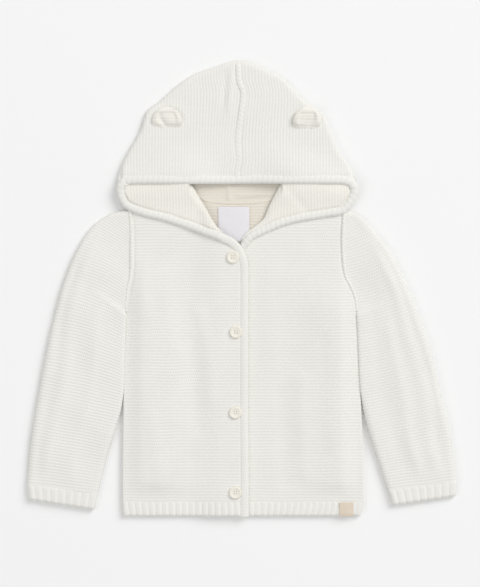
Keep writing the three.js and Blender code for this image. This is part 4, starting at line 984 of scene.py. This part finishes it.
def build_hood_side(name):
    away = -1 if name == "right" else 1
    end_x = -141.5 if name == "right" else 132.0
    top_seam = float(hood_seam_x(HOOD_TIP_Y))
    count = int(abs(end_x - top_seam) / RIDGE_STEP)
    shares = np.linspace(0, 1, count)[None, :]
    fold_x = mix(top_seam, end_x, shares)
    fold_y = hood_outline(fold_x)
    climb = np.concatenate([np.linspace(0, 0.86, 30), [0.9, 0.93, 0.955, 0.975, 0.99]])[:, None]

    def layer(base_y, v):
        base = np.minimum(base_y, fold_y - 0.8)
        y = mix(base, fold_y, v)
        # columns lean with the middle seam close to it and stand straight further out
        near = (1 - shares) ** 3
        x = fold_x + (hood_seam_x(y) - top_seam) * near
        return x, y

    def ridge_relief(x, y):
        ridges = (x - hood_seam_x(y) * (1 - shares) ** 3) / RIDGE + 0.10 * drift(x, y, 50, 23)
        crease = 1.1 * np.exp(-((x + 13 - 0.10 * (y - 225)) / 4.0) ** 2) * ease(190, 215, y) * ease(258, 240, y)
        trough = 0.8 * np.exp(-((x + 20 - 0.1 * (y - 225)) / 3.5) ** 2)
        crease = crease - trough * ease(200, 220, y) * ease(256, 238, y)
        seam = np.abs(x - hood_seam_x(y))
        dip = -0.4 * np.exp(-((seam - 3.4) / 1.8) ** 2)
        deep = RIDGE_DEEP * (1 + 0.15 * drift(x, y, 30, 29))
        return ridges, deep, crease + dip + 0.35 * drift(x, y, 75, 31)

    x_up, y_up = layer(FOREHEAD_Y - 2.6 - 9.0 * ease(118, 134, np.abs(fold_x)), climb)
    ridges_up, deep_up, waves_up = ridge_relief(x_up, y_up)
    distance = outline_distance(x_up, y_up)
    middle = (upper_floor(x_up, y_up) + KNIT + lower_floor(x_up, y_up)) / 2
    z_up = mix(middle, upper_floor(x_up, y_up) + KNIT, rounded(distance, 6.0)) + waves_up * ease(0, 2.5, distance)
    deep_up = deep_up * ease(0, 2.5, distance)
    closing = ease(abs(end_x) - 7.0, abs(end_x), np.abs(fold_x))
    z_up = mix(z_up, middle, 0.9 * closing)
    z_up = z_up - 0.8 * ease(133, 129, y_up)
    crest_x, crest_y = fold_x, fold_y
    crest_z = (upper_floor(crest_x, crest_y) + KNIT + lower_floor(crest_x, crest_y)) / 2
    x_low, y_low = layer(LOWER_LAYER_Y, climb[::-3])
    distance = outline_distance(x_low, y_low)
    middle = (upper_floor(x_low, y_low) + KNIT + lower_floor(x_low, y_low)) / 2
    z_low = mix(mix(middle, lower_floor(x_low, y_low), rounded(distance, 6.0)), middle, 0.9 * closing)
    points = np.concatenate([with_z(x_up, y_up, z_up), with_z(crest_x, crest_y, crest_z),
                             with_z(x_low, y_low, z_low)])
    rows = np.concatenate([ridges_up, crest_x / RIDGE, x_low / RIDGE + 0.0 * y_low])
    knit = pair(np.concatenate([y_up, crest_y, y_low]), rows)
    fabric = Fabric()
    flip = name == "right"
    deep = np.zeros(points.shape[:-1])
    deep[:len(deep_up)] = deep_up
    outer = fabric.grid(points, knit, flip=not flip, relief=(knit[..., 1], deep, UP))
    # inner face of the same fold, plain and coarse
    few = np.unique(np.append(np.arange(0, count, 12), count - 1))
    shut = closing[:, few]
    x_few, y_few = x_up[::4][:, few], y_up[::4][:, few]
    core = (upper_floor(x_few, y_few) + KNIT + lower_floor(x_few, y_few)) / 2
    upper_in = with_z(x_few, y_few - 1.5 * climb[::4], mix(upper_floor(x_few, y_few), core, shut))
    x_few, y_few = x_low[:, few], y_low[:, few]
    core = (upper_floor(x_few, y_few) + KNIT + lower_floor(x_few, y_few)) / 2
    lower_in = with_z(x_few, y_few - 1.5 * climb[::-3], mix(lower_floor(x_few, y_few) + KNIT, core, shut))
    inside = np.concatenate([upper_in, lower_in])
    inside[..., 2] = np.clip(inside[..., 2], 0.6, None)
    lining = fabric.grid(inside, pair(inside[..., 1], inside[..., 0] / RIDGE), flip=flip)
    for first, second in ((outer[0], lining[0]), (outer[-1], lining[-1]), (outer[:, 0], lining[:, 0]),
                          (outer[:, -1], lining[:, -1])):
        fabric.zip_rows(list(first), list(second))
    area = plan_area(with_z(x_up, y_up, z_up)) + plan_area(with_z(x_low, y_low, z_low))
    fabric.paint = 1
    area += add_wing(fabric, name, away)
    # the hood's back inside the neck takes the darker yarn copy, painted shade
    fabric.paint = 2
    area += add_neck_part(fabric, name)
    piece = fabric.make(f"hood_{name}_knit", (garter_knit, wing_knit, inside_knit_painted_shade), f"hood_{name}")


def add_wing(fabric, name, away):
    """The part folded out over the shoulder: its inner face shows, with the ridges running up it."""
    lower_end, outer_end = WING_LOWER[name][0][0], WING_LOWER[name][-1][0]
    start = WING_INNER[name][0][0]
    far_end = outer_end + away * 5.0
    x = np.linspace(lower_end, far_end, int(abs(far_end - lower_end) / RIDGE_STEP))[None, :]
    low = wing_lower_y[name](x) - 4.0 - 1.0 * ease(100, 125, np.abs(x))
    inner = wing_inner_y[name](x)
    beyond = (x < start) if name == "right" else (x > start)
    corner = 12.0 * ease(abs(outer_end) - 2.5, abs(outer_end) + 5.0, np.abs(x))
    high = np.where(beyond, 124.0 - corner, np.maximum(inner, low + 0.5))
    v = np.concatenate([np.linspace(0, 0.9, 22), [0.94, 0.965, 0.985, 1.0]])[:, None]
    y = mix(low, high, v)
    slope = np.gradient(wing_inner_y[name](x[0]), x[0])[None, :]
    from_fold = np.where(beyond, 50.0, (inner - y) / np.hypot(slope, 1))
    ridges = x / RIDGE + 0.12 * drift(x, y, 40, 37)
    trough = -0.7 * np.exp(-(((x - away * 66) + 0.8 * away * (y - 100)) / 7) ** 2)
    puff = 1.0 * np.exp(-((y - 104) / 12) ** 2)
    deep = 0.9 * RIDGE_DEEP * ease(0, 3, from_fold)
    z = shoulder_lift(x, y, 1.0) + KNIT + (trough + puff) * ease(0, 8, from_fold)
    z = z + 2.4 * ease(94, 121, y) * ease(0, 9, from_fold) - 3.0 * (1 - rounded(from_fold, 8.0))
    under_band = np.maximum(wing_lower_y[name](x) - y, np.abs(x) - abs(outer_end) + 0.5 + 0.0 * y)
    z = z - 2.6 * ease(-1.0, 3.5, under_band)
    low_z = np.minimum(np.maximum(shoulder_lift(x, y, 1.0), 3.4), z - 1.0)
    fabric.slab(with_z(x, y, z), with_z(x, y, low_z), pair(y, ridges), flip=name == "right",
                relief=(ridges, deep, UP))
    return plan_area(with_z(x, y, z))


def add_neck_part(fabric, name):
    """The hood's back inside the neck, with level ridges, down to the neck seam."""
    x0, x1 = (-62.0, -5.0) if name == "right" else (-5.0, 54.0)
    rows = np.linspace(0, 1, int(26 / RIDGE_STEP))[:, None]
    x = np.linspace(x0, x1, 28)[None, :]
    y = mix(back_top(x) - 0.6, 123.0, rows)
    sag = 1.3 * np.exp(-((y - 108 - 0.06 * (x - 20)) / 2.6) ** 2) * ease(-10, 6, x) * ease(44, 30, x)
    seam = 1.0 * np.exp(-((x + 14.4) / 2.6) ** 4) * ease(100, 103, y)
    ridges = y / RIDGE + 0.08 * drift(x, y, 30, 41)
    z = KNIT + sag + seam + 0.5 * np.exp(-((y - back_top(x) - 1.4) / 1.1) ** 2)
    fabric.slab(with_z(x, y, z), with_z(x, y, 0.3), pair(x, ridges), relief=(ridges, 0.45 * RIDGE_DEEP, UP))
    return plan_area(with_z(x, y, z))


def smooth_path(rows, step):
    """Evenly spaced points along a smooth line through a table's rows."""
    rows = np.array(rows, float)
    knots = np.concatenate([[2 * rows[0] - rows[1]], rows, [2 * rows[-1] - rows[-2]]])
    line = []
    for i in range(1, len(knots) - 2):
        t = np.linspace(0, 1, 24, endpoint=False)[:, None]
        p0, p1, p2, p3 = knots[i - 1], knots[i], knots[i + 1], knots[i + 2]
        line.append(0.5 * (2 * p1 + (p2 - p0) * t + (2 * p0 - 5 * p1 + 4 * p2 - p3) * t**2
                           + (3 * p1 - p0 - 3 * p2 + p3) * t**3))
    line = np.concatenate(line + [rows[-1:]])
    travelled = np.concatenate([[0], np.cumsum(np.linalg.norm(np.diff(line, axis=0), axis=1))])
    places = np.linspace(0, travelled[-1], max(int(travelled[-1] / step), 8))
    return np.stack([np.interp(places, travelled, line[:, k]) for k in range(line.shape[1])], axis=-1)


def trim_piece(name, node, rows, step=0.9, slot="rib", taper=None, **sizes):
    """A trim along a table's line. Its sizes are millimetres or shares, as the tree's inputs name them."""
    path = smooth_path(rows, step)
    mesh = bpy.data.meshes.new(name)
    mesh.from_pydata(to_frame(path).tolist(), [], [])
    set_attribute(mesh, "tall", "FLOAT", "POINT", taper(path[:, 1]) if taper else np.ones(len(path)))
    inputs = {**TRIM, **{key.replace("_", " ").capitalize(): value for key, value in sizes.items()}}
    for length in ("Width", "Height", "Stitch"):
        inputs[length] = inputs[length] / 1000
    return make_piece(name, mesh, trim_tree, {**inputs, "Yarn": rib_knit}, node)


def build_bands():
    rows = []
    for x, y, layer in FACE_BAND:
        low, high = float(shoulder_lift(x, y, 1.0)), float(upper_floor(x, y))
        rows.append((x, y, mix(low, high, layer) if layer >= 0 else low + 4 * layer))
    band = trim_piece("hood_edge_knit", "hood_edge_band", rows, lump_depth=0.14, slant=0.16, right_foot=0.42,
                      left_foot=0.42)
    band = trim_piece("front_band_right_knit", "front_band_right", RIGHT_FRONT_BAND, step=0.8, stitch=RIDGE,
                      lump_depth=0.02, lean=-0.16, right_foot=0.34, left_foot=0.66)
    band = trim_piece("front_band_left_knit", "front_band_left", LEFT_FRONT_BAND, height=KNIT, stitch=RIDGE,
                      lump_depth=0.06)


def build_seams():
    rows = []
    for y in np.arange(FOREHEAD_Y - 3.0, HOOD_TIP_Y, 6.0):
        x = float(hood_seam_x(y))
        rows.append((x, y, float(upper_floor(x, y)) + KNIT - 0.3 - 2.2 * float(ease(246, 264, y)) ** 2))
    trim_piece("hood_seam_knit", "hood_seam", rows, step=0.5, taper=lambda y: mix(0.30, 1.0, ease(180, 206, y)),
               width=6.6, height=1.7, stitch=5.2, lump_depth=0.16, slant=0.32)
    for name in ("right", "left"):
        away = -1 if name == "right" else 1
        rows = []
        for y in np.arange(-26.0, 92.0, 5.0):
            rows.append((float(side_at[name](y)) + away * 0.6, y, 4.6 + 0.5 * float(ease(-20, 20, y))))
        trim_piece(f"armhole_seam_{name}", None, rows, step=0.6, slot="knit", width=4.2, height=2.8, stitch=4.2,
                   lump_depth=0.2, slant=0.35)


def build_ear(name):
    """Cupped half-round ear: garter ridges inside, a thick rolled rim, and a pinch at its base."""
    x0, y0, wide, high, outer_curl, inner_curl = EARS[name]
    away = -1 if name == "right" else 1
    u = np.linspace(-1, 1, 90)[None, :]
    v = np.linspace(0, 1, 60)[:, None]
    half = (wide / 2) * (1 - (v * 0.96) ** 3.2) ** 0.5 * (0.86 + 0.14 * ease(0, 0.4, v))
    x = x0 + away * u * half + away * 1.2 * v
    y = y0 + high * v * (1 - 0.10 * u * u)
    from_rim = np.minimum((1 - np.abs(u)) * half, (1 - v) * high * 0.9)
    curl = mix(inner_curl, outer_curl, ease(-1, 1, u)) * ease(0.0, 0.6, v) * 0.45
    base = upper_floor(x, y) + KNIT - 0.5
    ridges = (y - y0) / RIDGE + 0.15 * drift(x, y, 20, 43)
    stand = ease(-0.05, 0.30, v)
    dome = (0.5 + 3.4 * rounded(from_rim, 5.5)) * stand
    hollow = -1.6 * ease(4.0, 9.0, from_rim) * ease(0.0, 0.35, v)
    crumple = 0.8 * drift(x, y, 17, 47 if name == "right" else 53) * ease(0, 4, from_rim) * stand
    pleat = 0.9 * np.exp(-((u - 0.42 - 0.45 * v) / 0.20) ** 2) * ease(0.95, 0.2, v)
    pleat = pleat - 1.2 * np.exp(-((u - 0.08 - 0.75 * v) / 0.18) ** 2) * ease(0.9, 0.2, v) * stand
    deep = 0.3 * ease(2.0, 5.0, from_rim)
    z = base + curl + dome + hollow + pleat + crumple
    low_z = np.minimum(base + curl * 0.8, z - 0.6)
    fabric = Fabric()
    top = with_z(x, y, z)
    fabric.slab(top, with_z(x, y, low_z), pair(x, ridges), flip=name == "right", relief=(ridges, deep, UP))
    piece = fabric.make(f"ear_{name}_knit", wing_knit, f"ear_{name}")


# Buttons, label and tag

def build_buttons():
    profile = [(0.0, 0.0), (0.90, 0.0), (0.98, 0.16), (1.0, 0.40), (0.985, 0.62), (0.93, 0.84), (0.86, 0.94),
               (0.79, 0.95), (0.72, 0.92), (0.64, 0.86), (0.55, 0.82), (0.0, DISH_LEVEL)]
    angle = np.linspace(0, 2 * math.pi, 48, endpoint=False)[None, :]
    for i, (x0, y0) in enumerate(BUTTONS):
        base = float(right_front_floor(x0, y0)) + KNIT - 0.5
        radius = np.array([p[0] for p in profile[1:-1]])[:, None] * BUTTON_RADIUS
        level = np.array([p[1] for p in profile[1:-1]])[:, None] * BUTTON_HEIGHT
        points = with_z(x0 + radius * np.cos(angle), y0 + radius * np.sin(angle), base + level)
        fabric = Fabric()
        ids = fabric.grid(points, pair(angle * 3, level), loop=True)
        fabric.fan(ids[0][::-1], (x0, y0, base), (0, 0))
        add_dish(fabric, ids[-1], x0, y0, base)
        fabric.make(f"button_{i + 1}_turned", button_plastic, f"button_{i + 1}", "button")


def add_dish(fabric, rim, x0, y0, base):
    """The button's dished middle with its four holes, as rings that sink at each hole."""
    radii = np.linspace(0.50, 0.04, 22)[:, None] * BUTTON_RADIUS
    angle = np.linspace(0, 2 * math.pi, 48, endpoint=False)[None, :]
    x, y = radii * np.cos(angle), radii * np.sin(angle)
    to_hole = np.hypot(np.abs(x) - HOLE_OFFSET, np.abs(y) - HOLE_OFFSET)
    sink = 0.9 * ease(HOLE_RADIUS + 0.2, HOLE_RADIUS - 0.35, to_hole)
    z = base + DISH_LEVEL * BUTTON_HEIGHT - sink - 0.12 * (1 - (radii / BUTTON_RADIUS))
    points = with_z(x0 + x, y0 + y, z)
    ids = fabric.grid(points, pair(x, y), loop=True)
    fabric.add_quads(np.stack([rim, np.roll(rim, -1), np.roll(ids[0], -1), ids[0]], axis=-1))
    fabric.fan(ids[-1], (x0, y0, float(z[-1].mean())), (0, 0))


def build_button_threads():
    """Two stitches of thread side by side between the holes of each button."""
    middles = []
    for x0, y0 in BUTTONS:
        level = float(right_front_floor(x0, y0)) + KNIT - TRIM_SINK + DISH_LEVEL * BUTTON_HEIGHT - 0.15
        middles += [(x0 + side * HOLE_OFFSET, y0, level) for side in (-1, 1)]
    mesh = bpy.data.meshes.new("button_threads")
    mesh.from_pydata(to_frame(np.array(middles)).tolist(), [], [])
    sizes = {"Length": 2 * HOLE_OFFSET / 1000, "Rise": 0.0006, "Thread": 0.0008, "Yarn": thread}
    make_piece("button_threads", mesh, stitch_tree, sizes)


def patch(name, node, bounds, height, thick, material, slot, wave):
    x0, x1, y0, y1 = bounds
    x = np.linspace(x0, x1, 40)[None, :]
    y = np.linspace(y0, y1, 40)[:, None]
    inset = np.minimum(np.minimum(x - x0, x1 - x), np.minimum(y - y0, y1 - y))
    base = height + wave(x, y)
    z = base + thick * (0.4 + 0.6 * rounded(inset, 0.7)) - 0.18 * np.exp(-((inset - 1.5) / 0.35) ** 2)
    fabric = Fabric()
    fabric.slab(with_z(x, y, z), with_z(x, y, base), pair(x, y))
    piece = fabric.make(name, material, node, slot)


def build_patches():
    patch("neck_label_tape", "neck_label", LABEL, LAYER + 0.6, 0.6, label_tape, "label",
          lambda x, y: 0.5 * np.sin((x + 9) / 9.0) * ease(96, 80, y))
    patch("hem_tag_tape", "hem_tag", TAG, LAYER + KNIT + 1.3, 0.9, tag_tape, "tag",
          lambda x, y: 0.25 * np.cos((x - 120) / 2.6) - 0.8 * ease(-258, -262, y))


# Floor, light and camera

def build_stage():
    material, tree, shader = new_material("pale_floor")
    shader.inputs["Base Color"].default_value = linear("#F4F4F4")
    shader.inputs["Roughness"].default_value = 0.9
    shader.inputs["Specular IOR Level"].default_value = 0.1
    mesh = bpy.data.meshes.new("floor")
    size = 6.0
    mesh.from_pydata([(-size, -size, 0), (size, -size, 0), (size, size, 0), (-size, size, 0)], [], [(0, 1, 2, 3)])
    mesh.materials.append(material)
    floor = bpy.data.objects.new("floor", mesh)
    floor.location = (0, 0, -0.0002)
    bpy.context.scene.collection.objects.link(floor)
    world = bpy.data.worlds.new("studio")
    bpy.context.scene.world = world
    world.use_nodes = True
    world.node_tree.nodes["Background"].inputs["Color"].default_value = (1, 1, 1, 1)
    world.node_tree.nodes["Background"].inputs["Strength"].default_value = 0.47
    lights = [("key", (4.9, 4.4, 5.2), 4.6, 385.0), ("overhead", (0.3, 0.2, 7.5), 2.5, 72.0),
              ("fill", (-5.0, -2.0, 5.5), 4.0, 90.0)]
    for name, place, size, power in lights:
        light = bpy.data.lights.new(name, "AREA")
        light.size = size
        light.energy = power
        lamp = bpy.data.objects.new(name, light)
        lamp.location = place
        lamp.rotation_euler = (-Vector(place)).to_track_quat("-Z", "Y").to_euler()
        bpy.context.scene.collection.objects.link(lamp)


def build_camera():
    lens, sensor_height = 90.0, 24.0
    view_height = PHOTO_SIZE[1] * MM_PER_PIXEL / 1000
    distance = view_height * lens / sensor_height
    centre = ((PHOTO_SIZE[0] / 2 - MIDDLE_PIXEL[0]) * MM_PER_PIXEL,
              (MIDDLE_PIXEL[1] - PHOTO_SIZE[1] / 2) * MM_PER_PIXEL)
    data = bpy.data.cameras.new("overhead")
    data.sensor_fit = "VERTICAL"
    data.sensor_height = sensor_height
    data.lens = lens
    camera = bpy.data.objects.new("overhead", data)
    camera.location = ((centre[0] + SHIFT[0]) / 1000, (centre[1] + SHIFT[1]) / 1000, distance + 0.006)
    bpy.context.scene.collection.objects.link(camera)
    bpy.context.scene.camera = camera


build_camera()
build_stage()
build_body()
build_hem()
for side_name in ("right", "left"):
    build_sleeve(side_name)
    build_cuff(side_name)
    build_hood_side(side_name)
    build_ear(side_name)
build_bands()
build_seams()
build_buttons()
build_button_threads()
build_patches()
bpy.context.scene.view_settings.view_transform = "Standard"
